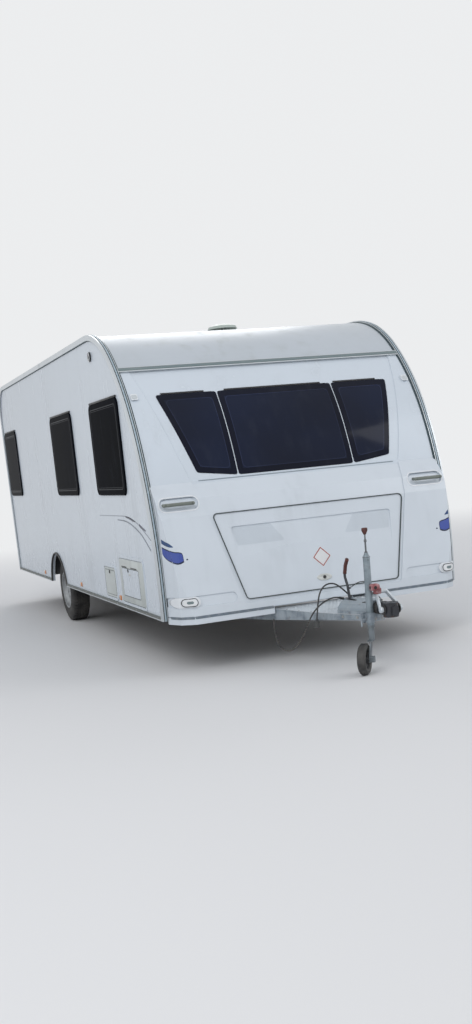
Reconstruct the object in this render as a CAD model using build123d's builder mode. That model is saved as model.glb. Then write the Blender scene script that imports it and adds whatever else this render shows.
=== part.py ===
from build123d import *
from math import atan, cos, radians, sin, tan
import os

os.makedirs("parts", exist_ok=True)

# A touring caravan, in millimetres. +Z is up, the coupling points towards -Y and the entrance
# door is on the +X side. The floor it stands on is Z = 0. Heights are taken from that floor, and
# distances along the caravan from the foot of the body's front corner, BODY_FRONT.

# Whole body
BODY_FRONT = -2480.0
BODY_LENGTH = 6230.0
BODY_WIDTH = 2430.0
BODY_FOOT = 400.0
WALL = 30.0
FLOOR_UNDERSIDE = 463.0
FLOOR_THICKNESS = 45.0

# Side elevation of the body: a straight foot, then three arcs that lean back into the roof
NOSE_START = 577.0
NOSE_RADIUS, NOSE_TURN = 2600.0, 26.0
BROW_RADIUS, BROW_TURN = 1870.0, 24.0
CROWN_RADIUS = 1095.0
TAIL_RADIUS = 380.0
FRONT_SEAM = (633.0, 2249.0)
SEAM_ANGLE = 43.0
REAR_SEAM = BODY_LENGTH - TAIL_RADIUS - 60

# Windows
PANE_GAP = 4.0
PANE_THICKNESS = 22.0
PANE_CORNER = 70.0
FRONT_SILL, FRONT_HEAD = 1418.0, 2036.0
SIDE_SILL, SIDE_HEAD = 1315.0, 2060.0
PANE_LAP, PANE_PROUD = 16.0, 14.0

# Front moulding with the gas locker
NOSE_BULGE = 200.0
NOSE_SKIN = 22.0
LID_TOP, LID_FOOT = 1135.0, 508.0
LID_HALF_TOP, LID_HALF_FOOT = 779.0, 620.0
LID_GAP = 5.0
NOSE_FOOT = 375.0
NOTCH_HALF, NOTCH_TOP = 424.0, 424.0
PANEL_NOTCH_HALF = 530.0

# Entrance door, on the +X side
DOOR_FRONT, DOOR_WIDTH = 2440.0, 640.0
DOOR_FOOT, DOOR_HEAD = 516.0, 2296.0
DOOR_GAP = 6.0

# Axle and wheels
AXLE_BACK = 3790.0
TYRE_RADIUS, TYRE_WIDTH = 325.0, 186.0
RIM_RADIUS = 188.0
WHEEL_CENTRE = 1068.0
ARCH_RADIUS = 400.0

# Chassis and drawbar
RAIL_HALF_SPREAD = 600.0
RAIL_DEPTH, RAIL_WIDTH, RAIL_STEEL = 115.0, 50.0, 4.0
RAILS_FRONT = 420.0
BEAM_REAR, BEAM_BEND, BEAM_TIP = 600.0, 170.0, -1000.0
BEAM_ROOT_HALF, BEAM_TIP_HALF = 573.0, 70.0
BEAM_WIDTH, BEAM_STEEL = 50.0, 4.0
BALL_BACK = -1215.0
BALL_HEIGHT = 440.0
BALL_RADIUS = 25.0

# Jockey leg
LEG_X, LEG_BACK = -76.0, -1060.0
LEG_RADIUS, LEG_STEEL = 24.0, 2.5
JOCKEY_RADIUS, JOCKEY_WIDTH = 108.0, 60.0
JOCKEY_TRAIL, JOCKEY_OFFSET = 60.0, -45.0

HALF = BODY_WIDTH / 2
RAIL_TOP = FLOOR_UNDERSIDE - 1
RAIL_MIDDLE = RAIL_TOP - RAIL_DEPTH / 2

# Planes that share the body's front foot: side elevation, front elevation and plan
SIDE = Plane(origin=(0, BODY_FRONT, 0), x_dir=(0, 1, 0), z_dir=(1, 0, 0))
FRONT = Plane(origin=(0, BODY_FRONT, 0), x_dir=(1, 0, 0), z_dir=(0, -1, 0))
PLAN = Plane(origin=(0, BODY_FRONT, 0))


def at(x, back, height):
    """A point given by its distance behind the body's front foot."""
    return (x, BODY_FRONT + back, height)


def save(piece, node):
    """Labels a finished piece and writes its file."""
    piece.part.label = node
    export_step(piece.part, f"parts/{node}.step")


def body_outline(foot):
    """Side elevation of the whole body, carried down to the height foot."""
    with BuildLine() as outline:
        upright = Line((0, foot), (0, NOSE_START))
        nose = JernArc(upright @ 1, upright % 1, NOSE_RADIUS, -NOSE_TURN)
        brow = JernArc(nose @ 1, nose % 1, BROW_RADIUS, -BROW_TURN)
        crown = JernArc(brow @ 1, brow % 1, CROWN_RADIUS, NOSE_TURN + BROW_TURN - 90)
        roof = Line(crown @ 1, (BODY_LENGTH - TAIL_RADIUS, (crown @ 1).Y))
        tail = JernArc(roof @ 1, roof % 1, TAIL_RADIUS, -90)
        back = Line(tail @ 1, (BODY_LENGTH, foot))
        Line(back @ 1, (0, foot))
    make_face(outline.edges())


def body_solid(inset, half_width):
    """The body's outline, set in all round, as a solid across the width."""
    with BuildPart(mode=Mode.PRIVATE) as block:
        with BuildSketch(SIDE):
            body_outline(BODY_FOOT - 200)
            if inset:
                offset(amount=-inset)
        extrude(amount=half_width, both=True)
    return block.part


def shell(outer_depth, inner_depth, half_width):
    """A sheet that follows the body's outline between two depths below its outer face."""
    return body_solid(outer_depth, half_width) - body_solid(inner_depth, half_width)


def region(points, half_width=HALF + 50):
    """A block across the width over a polygon of the side elevation."""
    with BuildPart(mode=Mode.PRIVATE) as block:
        with BuildSketch(SIDE):
            with BuildLine():
                Polyline(*points, close=True)
            make_face()
        extrude(amount=half_width, both=True)
    return block.part


def front_depth(height):
    """How far back the body's front face lies at a height below the brow."""
    rise = max(0.0, height - NOSE_START)
    return NOSE_RADIUS - (NOSE_RADIUS ** 2 - rise ** 2) ** 0.5


def pane(corners, radius, inset=0.0):
    """Adds a window outline with rounded corners, set in by inset."""
    with BuildSketch(mode=Mode.PRIVATE) as outline:
        with BuildLine():
            Polyline(*corners, close=True)
        make_face()
        fillet(outline.vertices(), radius)
        if inset:
            offset(amount=-inset)
    add(outline.sketch_local)


def box_between(low, high, edge=0.0):
    """A block between two corners given as (x, distance back, height)."""
    size = [b - a for a, b in zip(low, high)]
    middle = [(a + b) / 2 for a, b in zip(low, high)]
    with BuildPart(mode=Mode.PRIVATE) as block:
        with Locations(at(*middle)):
            Box(*size)
        if edge:
            fillet(block.edges().filter_by(Axis.Y), edge)
    add(block.part)


# The seam lines that part the front, roof and rear sheets, square to the outline
seam_out = Vector(cos(radians(SEAM_ANGLE)), -sin(radians(SEAM_ANGLE)))
seam_high = Vector(*FRONT_SEAM) - seam_out * 200
seam_low = Vector(*FRONT_SEAM) + seam_out * 300
low_front = (seam_low.X, BODY_FOOT)

front_region = region([(-300, BODY_FOOT), (-300, 2700), (seam_high.X, 2700),
                       (seam_high.X, seam_high.Y), (seam_low.X, seam_low.Y), low_front])
roof_region = region([(seam_high.X, 2800), (seam_high.X, seam_high.Y), (seam_low.X, seam_low.Y),
                      (REAR_SEAM, seam_low.Y), (REAR_SEAM, 2800)])
rear_region = region([(REAR_SEAM, BODY_FOOT), (REAR_SEAM, 2800), (BODY_LENGTH + 300, 2800),
                      (BODY_LENGTH + 300, BODY_FOOT)])

outer_skin = shell(0, WALL, HALF)

# Front windows as seen from the front: corner points of each pane, offside to nearside
CENTRE_HALF = 477.0
FRONT_PANES = {
    "left": [(-484, 1398), (-800, 1440), (-972, FRONT_HEAD), (-484, FRONT_HEAD)],
    "centre": [(-CENTRE_HALF, 1398), (CENTRE_HALF, 1398),
               (CENTRE_HALF, FRONT_HEAD), (-CENTRE_HALF, FRONT_HEAD)],
    "right": [(484, 1398), (800, 1440), (972, FRONT_HEAD), (484, FRONT_HEAD)],
}

# The middle of the front is set back between two creases, from the roof's seam down round the lid
CENTRE_DEPTH = 7.0
CREASE = [(1120, 2300), (925, 1590), (826, 1260), (812, 1150), (718, 774), (645, 478)]
CENTRE_LEDGE = 1388.0


def crease_half(height):
    """Half the width between the creases at a height."""
    return next(x0 + (x1 - x0) * (height - z0) / (z1 - z0)
                for (x0, z0), (x1, z1) in zip(CREASE, CREASE[1:]) if z1 <= height <= z0)


def between_creases(foot):
    """The middle of the front above a height, as a block along the caravan."""
    right = [point for point in CREASE if point[1] > foot] + [(crease_half(foot), foot)]
    with BuildPart(mode=Mode.PRIVATE) as block:
        with BuildSketch(FRONT.offset(-900)) as outline:
            with BuildLine():
                Polyline(*right, *[(-x, z) for x, z in reversed(right)], close=True)
            make_face()
            fillet(outline.vertices().group_by(Axis.Z)[0], 30)
        extrude(amount=1300)
    return block.part


def crease_edges(piece):
    """The forward edges of the steps along both creases."""
    solid = piece.solids()[0]
    found = []
    for edge in piece.edges():
        middle = edge.center()
        side = 1 if middle.X > 0 else -1
        upright = edge.length > 20 and abs(edge.tangent_at(0.5).Z) > 0.5
        if (upright and CREASE[-1][1] < middle.Z < CREASE[0][1]
                and abs(side * middle.X - crease_half(middle.Z)) < 3
                and not solid.is_inside(middle + Vector(-side * 2, 2, 0))):
            found.append(edge)
    return found


centre_cut = (body_solid(-50, HALF) - body_solid(CENTRE_DEPTH, HALF + 10)) \
    & between_creases(CENTRE_LEDGE)

with BuildPart() as front_panel:
    add(outer_skin & front_region)
    add(centre_cut, mode=Mode.SUBTRACT)
    fillet(crease_edges(front_panel.part), 6)
    with BuildSketch(FRONT.offset(-700)):
        for corners in FRONT_PANES.values():
            pane(corners, 45)
    extrude(amount=900, mode=Mode.SUBTRACT)
    with BuildSketch(FRONT.offset(-200)):
        with BuildLine():
            Polyline((-640, 540), (640, 540), (740, 1100), (-740, 1100), close=True)
        make_face()
        with Locations((0, NOTCH_TOP / 2)):
            Rectangle(2 * PANEL_NOTCH_HALF, NOTCH_TOP)
    extrude(amount=400, mode=Mode.SUBTRACT)
save(front_panel, "front_panel")

with BuildPart() as front_windows:
    add(shell(4, 4 + PANE_THICKNESS, HALF - 5) & front_region)
    with BuildSketch(FRONT.offset(-700)):
        for corners in FRONT_PANES.values():
            pane(corners, 45, PANE_GAP)
    extrude(amount=900, mode=Mode.INTERSECT)
save(front_windows, "front_windows")

# Roof lights: middle of each opening behind the front foot, and its half size
ROOF_LIGHTS = [(2300.0, 250.0), (4300.0, 250.0)]
ROOF_HEIGHT = outer_skin.bounding_box().max.Z
MUSHROOM_X, MUSHROOM_BACK, MUSHROOM_RADIUS = 40.0, 1600.0, 130.0

with BuildPart() as roof_panel:
    add(outer_skin & roof_region)
    with BuildSketch(PLAN.offset(2400)):
        for middle, half_size in ROOF_LIGHTS:
            with Locations((0, middle)):
                RectangleRounded(2 * half_size, 2 * half_size, 40)
        with Locations((MUSHROOM_X, MUSHROOM_BACK)):
            Circle(60)
    extrude(amount=400, mode=Mode.SUBTRACT)
save(roof_panel, "roof_panel")

# Each roof light is a low dome on a flange that covers its opening
with BuildPart() as roof_lights:
    for middle, half_size in ROOF_LIGHTS:
        reach = half_size + 30
        with BuildSketch(PLAN.offset(ROOF_HEIGHT)):
            with Locations((0, middle)):
                RectangleRounded(2 * reach, 2 * reach, 60)
        extrude(amount=42, taper=35)
        with BuildSketch(PLAN.offset(ROOF_HEIGHT)):
            with Locations((0, middle)):
                RectangleRounded(2 * reach - 60, 2 * reach - 60, 30)
        extrude(amount=30, taper=35, mode=Mode.SUBTRACT)
save(roof_lights, "roof_lights")

with BuildPart() as mushroom_vent:
    with BuildSketch(Plane(origin=at(MUSHROOM_X, MUSHROOM_BACK, ROOF_HEIGHT),
                           x_dir=(1, 0, 0), z_dir=(0, -1, 0))):
        with BuildLine():
            Polyline((0, -45), (58, -45), (58, 0), (90, 0), (90, 12), (58, 12), (58, 30),
                     (MUSHROOM_RADIUS, 30), (MUSHROOM_RADIUS - 12, 52), (70, 68), (0, 74),
                     close=True)
        make_face()
    revolve(axis=Axis(at(MUSHROOM_X, MUSHROOM_BACK, 0), (0, 0, 1)))
save(mushroom_vent, "mushroom_vent")

# Rear window outline, and the recess of the rear lamps
REAR_SILL, REAR_HEAD, REAR_HALF = 1380.0, 2000.0, 760.0

with BuildPart() as rear_panel:
    add(outer_skin & rear_region)
    with BuildSketch(FRONT.offset(-BODY_LENGTH - 100)):
        with Locations((0, (REAR_SILL + REAR_HEAD) / 2)):
            RectangleRounded(2 * (REAR_HALF - PANE_LAP), REAR_HEAD - REAR_SILL - 2 * PANE_LAP,
                             PANE_CORNER - PANE_LAP)
    extrude(amount=200, mode=Mode.SUBTRACT)
    with BuildSketch(SIDE):
        with BuildLine():
            Polyline((BODY_LENGTH - 5, BODY_FOOT), (BODY_LENGTH + 22, BODY_FOOT + 12),
                     (BODY_LENGTH + 30, BODY_FOOT + 60), (BODY_LENGTH + 30, BODY_FOOT + 150),
                     (BODY_LENGTH + 22, BODY_FOOT + 190), (BODY_LENGTH, BODY_FOOT + 212),
                     (BODY_LENGTH - 5, BODY_FOOT + 212), close=True)
        make_face()
    extrude(amount=HALF - 40, both=True)
    with BuildSketch(FRONT.offset(-BODY_LENGTH - 60)):
        with Locations((0, BODY_FOOT + 104)):
            RectangleRounded(560, 130, 16)
    extrude(amount=50, mode=Mode.SUBTRACT)
save(rear_panel, "rear_panel")

with BuildPart() as rear_window:
    with BuildSketch(FRONT.offset(-BODY_LENGTH)):
        with Locations((0, (REAR_SILL + REAR_HEAD) / 2)):
            RectangleRounded(2 * REAR_HALF, REAR_HEAD - REAR_SILL, PANE_CORNER)
    extrude(amount=-PANE_PROUD, taper=24)
    lap = PANE_LAP + PANE_GAP
    with BuildSketch(FRONT.offset(-BODY_LENGTH)):
        with Locations((0, (REAR_SILL + REAR_HEAD) / 2)):
            RectangleRounded(2 * (REAR_HALF - lap), REAR_HEAD - REAR_SILL - 2 * lap,
                             PANE_CORNER - lap)
    extrude(amount=PANE_THICKNESS - PANE_PROUD)
save(rear_window, "rear_window")

# Side openings: distance back to the front and rear edge, sill and head
OFFSIDE_PANES = [(633, 1573), (2307, 3262), (5340, 6118)]
NEARSIDE_PANES = [(633, 1573), (3400, 4000), (5340, 6118)]
# Service hatches in the offside wall: front edge, rear edge, foot and head
BIG_HATCH = (425.0, 1135.0, 453.0, 812.0)
SMALL_HATCH = (1310.0, 1690.0, 455.0, 712.0)
HATCH_GAP = 4.0
HATCH_THICKNESS = 26.0
HATCH_FRAME = 22.0
# Fridge vents in the nearside wall
VENTS = [(4470.0, 4930.0, 760.0, 1000.0), (4470.0, 4930.0, 1120.0, 1280.0)]


def side_window_outlines(panes, inset=0.0):
    """Outlines of one side's windows in the side elevation."""
    for front, rear in panes:
        with Locations(((front + rear) / 2, (SIDE_SILL + SIDE_HEAD) / 2)):
            RectangleRounded(rear - front - 2 * inset, SIDE_HEAD - SIDE_SILL - 2 * inset,
                             max(20, PANE_CORNER - inset))


def framed_hole(front, rear, foot, head, radius, inset=0.0):
    """A rounded rectangle in the side elevation between two edges, a foot and a head."""
    with Locations(((front + rear) / 2, (foot + head) / 2)):
        RectangleRounded(rear - front - 2 * inset, head - foot - 2 * inset, radius - inset)


def arch_outline():
    """The wheel arch in the side elevation, open to below."""
    with Locations((AXLE_BACK, TYRE_RADIUS)):
        Circle(ARCH_RADIUS)
    with Locations((AXLE_BACK, TYRE_RADIUS - 150)):
        Rectangle(2 * ARCH_RADIUS, 300)


inner_body = body_solid(WALL, HALF)
above_foot = region([(-50, BODY_FOOT), (-50, 2800), (BODY_LENGTH + 50, 2800),
                     (BODY_LENGTH + 50, BODY_FOOT)])

with BuildPart() as side_wall_offside:
    add(inner_body & above_foot)
    with BuildSketch(SIDE.offset(-HALF + WALL)):
        Rectangle(3 * BODY_LENGTH, 6000)
    extrude(amount=2 * HALF, mode=Mode.SUBTRACT)
    with BuildSketch(SIDE.offset(-HALF - 50)):
        side_window_outlines(OFFSIDE_PANES, PANE_LAP)
        framed_hole(*BIG_HATCH, 30)
        framed_hole(*SMALL_HATCH, 30)
        arch_outline()
    extrude(amount=WALL + 60, mode=Mode.SUBTRACT)
    for hatch in (BIG_HATCH, SMALL_HATCH):
        with BuildSketch(SIDE.offset(-HALF)):
            framed_hole(*hatch, 30, -HATCH_FRAME)
            with BuildSketch(mode=Mode.SUBTRACT):
                framed_hole(*hatch, 30)
        extrude(amount=-5)
save(side_wall_offside, "side_wall_offside")

with BuildPart() as side_wall_nearside:
    add(inner_body & above_foot)
    with BuildSketch(SIDE.offset(HALF - WALL)):
        Rectangle(3 * BODY_LENGTH, 6000)
    extrude(amount=-2 * HALF, mode=Mode.SUBTRACT)
    with BuildSketch(SIDE.offset(HALF + 50)):
        side_window_outlines(NEARSIDE_PANES, PANE_LAP)
        framed_hole(DOOR_FRONT, DOOR_FRONT + DOOR_WIDTH, DOOR_FOOT, DOOR_HEAD, 60)
        for vent in VENTS:
            framed_hole(*vent, 12)
        arch_outline()
    extrude(amount=-WALL - 60, mode=Mode.SUBTRACT)
save(side_wall_nearside, "side_wall_nearside")

for side, node, panes in ((-1, "windows_offside", OFFSIDE_PANES),
                          (1, "windows_nearside", NEARSIDE_PANES)):
    with BuildPart() as side_windows:
        with BuildSketch(SIDE.offset(side * HALF)):
            side_window_outlines(panes)
        extrude(amount=side * PANE_PROUD, taper=24)
        with BuildSketch(SIDE.offset(side * HALF)):
            side_window_outlines(panes, PANE_LAP + PANE_GAP)
        extrude(amount=-side * (PANE_THICKNESS - PANE_PROUD))
    save(side_windows, node)

with BuildPart() as fridge_vents:
    with BuildSketch(SIDE.offset(HALF + 10)):
        for vent in VENTS:
            framed_hole(*vent, 12, -18)
    extrude(amount=-9)
    with BuildSketch(SIDE.offset(HALF + 3)):
        for vent in VENTS:
            framed_hole(*vent, 12, 3)
    extrude(amount=-20)
save(fridge_vents, "fridge_vents")

with BuildPart() as flue_vent:
    with Locations(Location(at(-HALF, 1345, 2426), (0, -90, 0))):
        Cylinder(38, 14, align=(Align.CENTER, Align.CENTER, Align.MIN))
save(flue_vent, "flue_vent")

# Floor with its notches for the wheels, and a box over each wheel
BOX_INNER, BOX_HALF, BOX_TOP, BOX_PLY = 905.0, 420.0, 760.0, 12.0

with BuildPart() as floor_panel:
    box_between((-HALF + WALL, WALL, FLOOR_UNDERSIDE),
                (HALF - WALL, BODY_LENGTH - WALL, FLOOR_UNDERSIDE + FLOOR_THICKNESS))
    with Locations(*[at(side * (BOX_INNER + 200), AXLE_BACK, FLOOR_UNDERSIDE) for side in (-1, 1)]):
        Box(400, 2 * BOX_HALF, 200, mode=Mode.SUBTRACT)
save(floor_panel, "floor_panel")

with BuildPart() as wheel_boxes:
    for side in (-1, 1):
        near, far = side * BOX_INNER, side * (HALF - WALL)
        low_x, high_x = min(near, far), max(near, far)
        box_between((low_x, AXLE_BACK - BOX_HALF, FLOOR_UNDERSIDE),
                    (high_x, AXLE_BACK + BOX_HALF, BOX_TOP))
    for side in (-1, 1):
        near, far = side * (BOX_INNER + BOX_PLY), side * (HALF - WALL + 10)
        with Locations(at((near + far) / 2, AXLE_BACK, (FLOOR_UNDERSIDE + BOX_TOP - BOX_PLY) / 2)):
            Box(abs(far - near), 2 * (BOX_HALF - BOX_PLY), BOX_TOP - BOX_PLY - FLOOR_UNDERSIDE,
                mode=Mode.SUBTRACT)
save(wheel_boxes, "wheel_boxes")

# Lower front moulding: a hollow nose in front of the body's face, open to the locker behind it
NOSE_SECTION = [(-203, 500), (-46, LID_TOP), (14, 1262), (160, 1412), (500, 1412)]
NOSE_HALF = 1184.0
NOSE_PLAN = [(-NOSE_HALF, 600), (-NOSE_HALF, -20), (-1130, -150), (-1000, -240), (1000, -240),
             (1130, -150), (NOSE_HALF, -20), (NOSE_HALF, 600)]


def nose_block(inset):
    """The moulding's outer form, or its hollow, open below, when inset by the skin."""
    foot = NOSE_FOOT if inset <= 0 else NOSE_FOOT - 100
    with BuildPart(mode=Mode.PRIVATE) as block:
        with BuildSketch(SIDE):
            with BuildLine():
                Polyline((-216, foot), *NOSE_SECTION, (500, foot), close=True)
            make_face()
            if inset:
                offset(amount=-inset, kind=Kind.INTERSECTION)
        extrude(amount=NOSE_HALF, both=True)
        with BuildSketch(PLAN.offset(NOSE_FOOT - 80)) as plan:
            with BuildLine():
                Polyline(*NOSE_PLAN, close=True)
            make_face()
            fillet(plan.vertices().sort_by(Axis.Y)[:2], 150)
            if inset:
                offset(amount=-inset, kind=Kind.INTERSECTION)
        extrude(amount=1300, mode=Mode.INTERSECT)
    return block.part


nose_skin = nose_block(0) - nose_block(NOSE_SKIN) - body_solid(0, HALF + 5)
lip_groove = (nose_block(0) - nose_block(8)) & region([(-300, 424), (0, 424), (0, 431), (-300, 431)])
LID_CORNERS = [(-LID_HALF_FOOT, LID_FOOT), (LID_HALF_FOOT, LID_FOOT),
               (LID_HALF_TOP, LID_TOP), (-LID_HALF_TOP, LID_TOP)]
nose_centre_cut = (nose_block(-30) - nose_block(CENTRE_DEPTH)) & between_creases(478)


def nose_slots(near, far, height, width, outer, inner):
    """Round-ended slots across both wings of the moulding, between two depths of its face."""
    with BuildPart(mode=Mode.PRIVATE) as slots:
        add(nose_block(outer) - nose_block(inner))
        with BuildSketch(FRONT.offset(-300)):
            for side in (-1, 1):
                with Locations((side * (near + far) / 2, height)):
                    SlotOverall(far - near, width)
        extrude(amount=700, mode=Mode.INTERSECT)
    return slots.part


# Recesses in the wings: a long one that ends under the lamp, and one behind the grab handle
LAMP_HEIGHT, LAMP_RECESS = 537.0, 8.0
HANDLE_HEIGHT, HANDLE_RECESS = 1232.0, 14.0


def nose_face(height, depth):
    """A point of the lid's sloping face at a depth, in the side elevation."""
    (foot_back, foot_height), (top_back, top_height) = NOSE_SECTION[:2]
    slope = atan((top_back - foot_back) / (top_height - foot_height))
    back = foot_back + (height - foot_height) * tan(slope)
    return (back + depth * cos(slope), height - depth * sin(slope))


# The lid's upper band sinks towards its top edge and fades out over an arched lower edge
BAND_TOP, BAND_HALF, BAND_LOW_HALF, BAND_LOW, BAND_ARCH = 1033.0, 657.0, 628.0, 789.0, 868.0
band_wedge = region([nose_face(BAND_TOP + 20, 15.6), nose_face(BAND_LOW, CENTRE_DEPTH),
                     (-400, BAND_LOW), (-400, BAND_TOP + 20)])

with BuildPart() as front_moulding:
    add(nose_skin)
    add(nose_centre_cut, mode=Mode.SUBTRACT)
    add(nose_slots(700, 1200, LAMP_HEIGHT, 76, -30, LAMP_RECESS), mode=Mode.SUBTRACT)
    add(nose_slots(868, 1160, HANDLE_HEIGHT, 88, -60, HANDLE_RECESS), mode=Mode.SUBTRACT)
    with BuildSketch(FRONT.offset(-200)):
        pane(LID_CORNERS, 30, -LID_GAP)
        with Locations((0, NOTCH_TOP / 2)):
            Rectangle(2 * NOTCH_HALF, NOTCH_TOP)
    extrude(amount=600, mode=Mode.SUBTRACT)
    add(lip_groove, mode=Mode.SUBTRACT)
save(front_moulding, "front_moulding")

with BuildPart() as locker_lid:
    add(nose_skin)
    add(nose_centre_cut, mode=Mode.SUBTRACT)
    with BuildPart(mode=Mode.SUBTRACT):
        with BuildSketch(FRONT.offset(-200)) as band:
            with BuildLine():
                Polyline((-BAND_LOW_HALF, BAND_LOW), (-BAND_HALF, BAND_TOP), (BAND_HALF, BAND_TOP),
                         (BAND_LOW_HALF, BAND_LOW))
                ThreePointArc((BAND_LOW_HALF, BAND_LOW), (0, BAND_ARCH), (-BAND_LOW_HALF, BAND_LOW))
            make_face()
            fillet(band.vertices().group_by(Axis.Z)[-1], 22)
        extrude(amount=600)
        add(band_wedge, mode=Mode.INTERSECT)
    with BuildSketch(FRONT.offset(-200)):
        pane(LID_CORNERS, 30)
    extrude(amount=600, mode=Mode.INTERSECT)
save(locker_lid, "locker_lid")

# Gas locker: a tray and walls behind the lid, open to the front
LOCKER_HALF, LOCKER_BACK = 760.0, 430.0
LOCKER_FOOT, LOCKER_TOP, LOCKER_PLY = FLOOR_UNDERSIDE + FLOOR_THICKNESS + 1, 1150.0, 12.0

with BuildPart() as locker_tub:
    box_between((-LOCKER_HALF, 0, LOCKER_FOOT), (LOCKER_HALF, LOCKER_BACK, LOCKER_TOP))
    add(body_solid(WALL + 1, HALF), mode=Mode.INTERSECT)
    with Locations(at(0, (LOCKER_BACK - LOCKER_PLY) / 2, (LOCKER_FOOT + LOCKER_TOP) / 2)):
        Box(2 * (LOCKER_HALF - LOCKER_PLY), LOCKER_BACK - LOCKER_PLY,
            LOCKER_TOP - LOCKER_FOOT - 2 * LOCKER_PLY, mode=Mode.SUBTRACT)
save(locker_tub, "locker_tub")

# Hatches: framed flush panels with a lip inside
for node, hatch in (("service_hatch", BIG_HATCH), ("battery_hatch", SMALL_HATCH)):
    with BuildPart() as hatch_panel:
        with BuildSketch(SIDE.offset(-HALF - 3)):
            framed_hole(*hatch, 30, HATCH_GAP)
        extrude(amount=HATCH_THICKNESS)
    save(hatch_panel, node)

# Entrance door with its window and handle
DOOR_LEAF = (DOOR_FRONT, DOOR_FRONT + DOOR_WIDTH, DOOR_FOOT, DOOR_HEAD)
DOOR_PANE = (DOOR_FRONT + 120, DOOR_FRONT + DOOR_WIDTH - 120, 1330.0, 2060.0)

with BuildPart() as door_leaf:
    with BuildSketch(SIDE.offset(HALF + 4)):
        framed_hole(*DOOR_LEAF, 60, DOOR_GAP)
    extrude(amount=-WALL - 4)
    with BuildSketch(SIDE.offset(HALF + 20)):
        framed_hole(*DOOR_PANE, 50)
    extrude(amount=-WALL - 40, mode=Mode.SUBTRACT)
save(door_leaf, "door_leaf")

with BuildPart() as door_window:
    with BuildSketch(SIDE.offset(HALF + 7)):
        framed_hole(*DOOR_PANE, 50, 3)
    extrude(amount=-PANE_THICKNESS)
save(door_window, "door_window")

with BuildPart() as door_handle:
    with Locations(at(HALF + 4 + 5, DOOR_FRONT + DOOR_WIDTH - 75, 1180)):
        Box(10, 70, 150)
    with Locations(at(HALF + 4 + 25, DOOR_FRONT + DOOR_WIDTH - 75, 1200)):
        Box(14, 34, 120)
    with Locations(at(HALF + 4 + 14, DOOR_FRONT + DOOR_WIDTH - 75, 1250)):
        Box(12, 34, 20)
save(door_handle, "door_handle")

# Corner rails: an angle section that covers the joint of side and front, roof and rear
RAIL_PROUD, RAIL_FACE = 15.0, 28.0

with BuildPart() as corner_rails:
    add(body_solid(-RAIL_PROUD, HALF + RAIL_PROUD) & above_foot)
    add(body_solid(RAIL_FACE, HALF + 100), mode=Mode.SUBTRACT)
    add(body_solid(0, HALF), mode=Mode.SUBTRACT)
    add(body_solid(-100, HALF - RAIL_FACE), mode=Mode.SUBTRACT)
save(corner_rails, "corner_rails")

# Lamps follow the sheets they sit on
with BuildPart() as low_lamps:
    add(nose_slots(985, 1172, LAMP_HEIGHT, 75, -8, LAMP_RECESS))
    add(nose_slots(1004, 1130, LAMP_HEIGHT, 60, -17, LAMP_RECESS))

with BuildPart() as high_lamps:
    add(shell(-16, 0, HALF) & front_region)
    with BuildSketch(FRONT.offset(-700)):
        for side in (-1, 1):
            with Locations((side * 1137, 2031)):
                RectangleRounded(52, 46, 10)
    extrude(amount=900, mode=Mode.INTERSECT)

with BuildPart() as front_lamps:
    add(low_lamps.part)
    add(high_lamps.part)
save(front_lamps, "front_lamps")

with BuildPart() as rear_lamps:
    with BuildSketch(FRONT.offset(-BODY_LENGTH)):
        for side in (-1, 1):
            with Locations((side * 1080, 880)):
                RectangleRounded(130, 480, 45)
    extrude(amount=-30, taper=8)
save(rear_lamps, "rear_lamps")

# Grab handles: x of the middle, distance back of the bar, height and the sheet that they stand on
HANDLE_STAND = 34.0
HANDLES = [(side * 1025, back, height, seat)
           for back, height, seat in ((-HANDLE_STAND, HANDLE_HEIGHT, nose_block(HANDLE_RECESS)),
                                      (BODY_LENGTH + HANDLE_STAND, 1200.0, body_solid(0, HALF)))
           for side in (-1, 1)]

with BuildPart() as grab_handles:
    for x, back, height, seat in HANDLES:
        inward = 1 if back < 0 else -1
        with BuildPart(mode=Mode.PRIVATE) as handle:
            with Locations(Location(at(x, back, height), (0, 90, 0))):
                Cylinder(13, 222)
            with Locations(*[at(x + end * 111, back, height) for end in (-1, 1)]):
                Sphere(13)
            with BuildSketch(Plane(origin=at(x, back, height), x_dir=(1, 0, 0),
                                   z_dir=(0, inward, 0))):
                with Locations((-104, 0), (104, 0)):
                    Circle(11)
            extrude(amount=60)
            add(seat, mode=Mode.SUBTRACT)
        add(handle.part)
save(grab_handles, "grab_handles")

# Aluminium skirts along the foot of each side wall, cut away at the wheel
with BuildPart() as side_skirts:
    for side in (-1, 1):
        with BuildSketch(SIDE.offset(side * HALF)):
            with Locations((BODY_LENGTH / 2, BODY_FOOT + 14)):
                Rectangle(BODY_LENGTH - 60, 28)
            with Locations((AXLE_BACK, TYRE_RADIUS)):
                Circle(ARCH_RADIUS, mode=Mode.SUBTRACT)
        extrude(amount=side * 12)
save(side_skirts, "side_skirts")


def rail_section(open_side):
    """Channel section of a chassis beam, its mouth facing open_side along local x."""
    Rectangle(RAIL_WIDTH, RAIL_DEPTH)
    with Locations((open_side * RAIL_STEEL, 0)):
        Rectangle(RAIL_WIDTH, RAIL_DEPTH - 2 * RAIL_STEEL, mode=Mode.SUBTRACT)


# Axle: a six-sided tube ahead of the wheels, with a trailing arm, stub and backplate at each end
AXLE_TUBE_BACK, AXLE_TUBE_HEIGHT, AXLE_TUBE_REACH = AXLE_BACK - 150, 334.0, 930.0
AXLE_TUBE_RADIUS, AXLE_TUBE_STEEL = 54.0, 5.0
BACKPLATE_X = WHEEL_CENTRE - 28
HUB_FACE = WHEEL_CENTRE + 28
STUB_RADIUS = 26.0
ARM_THICKNESS = 26.0

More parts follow.
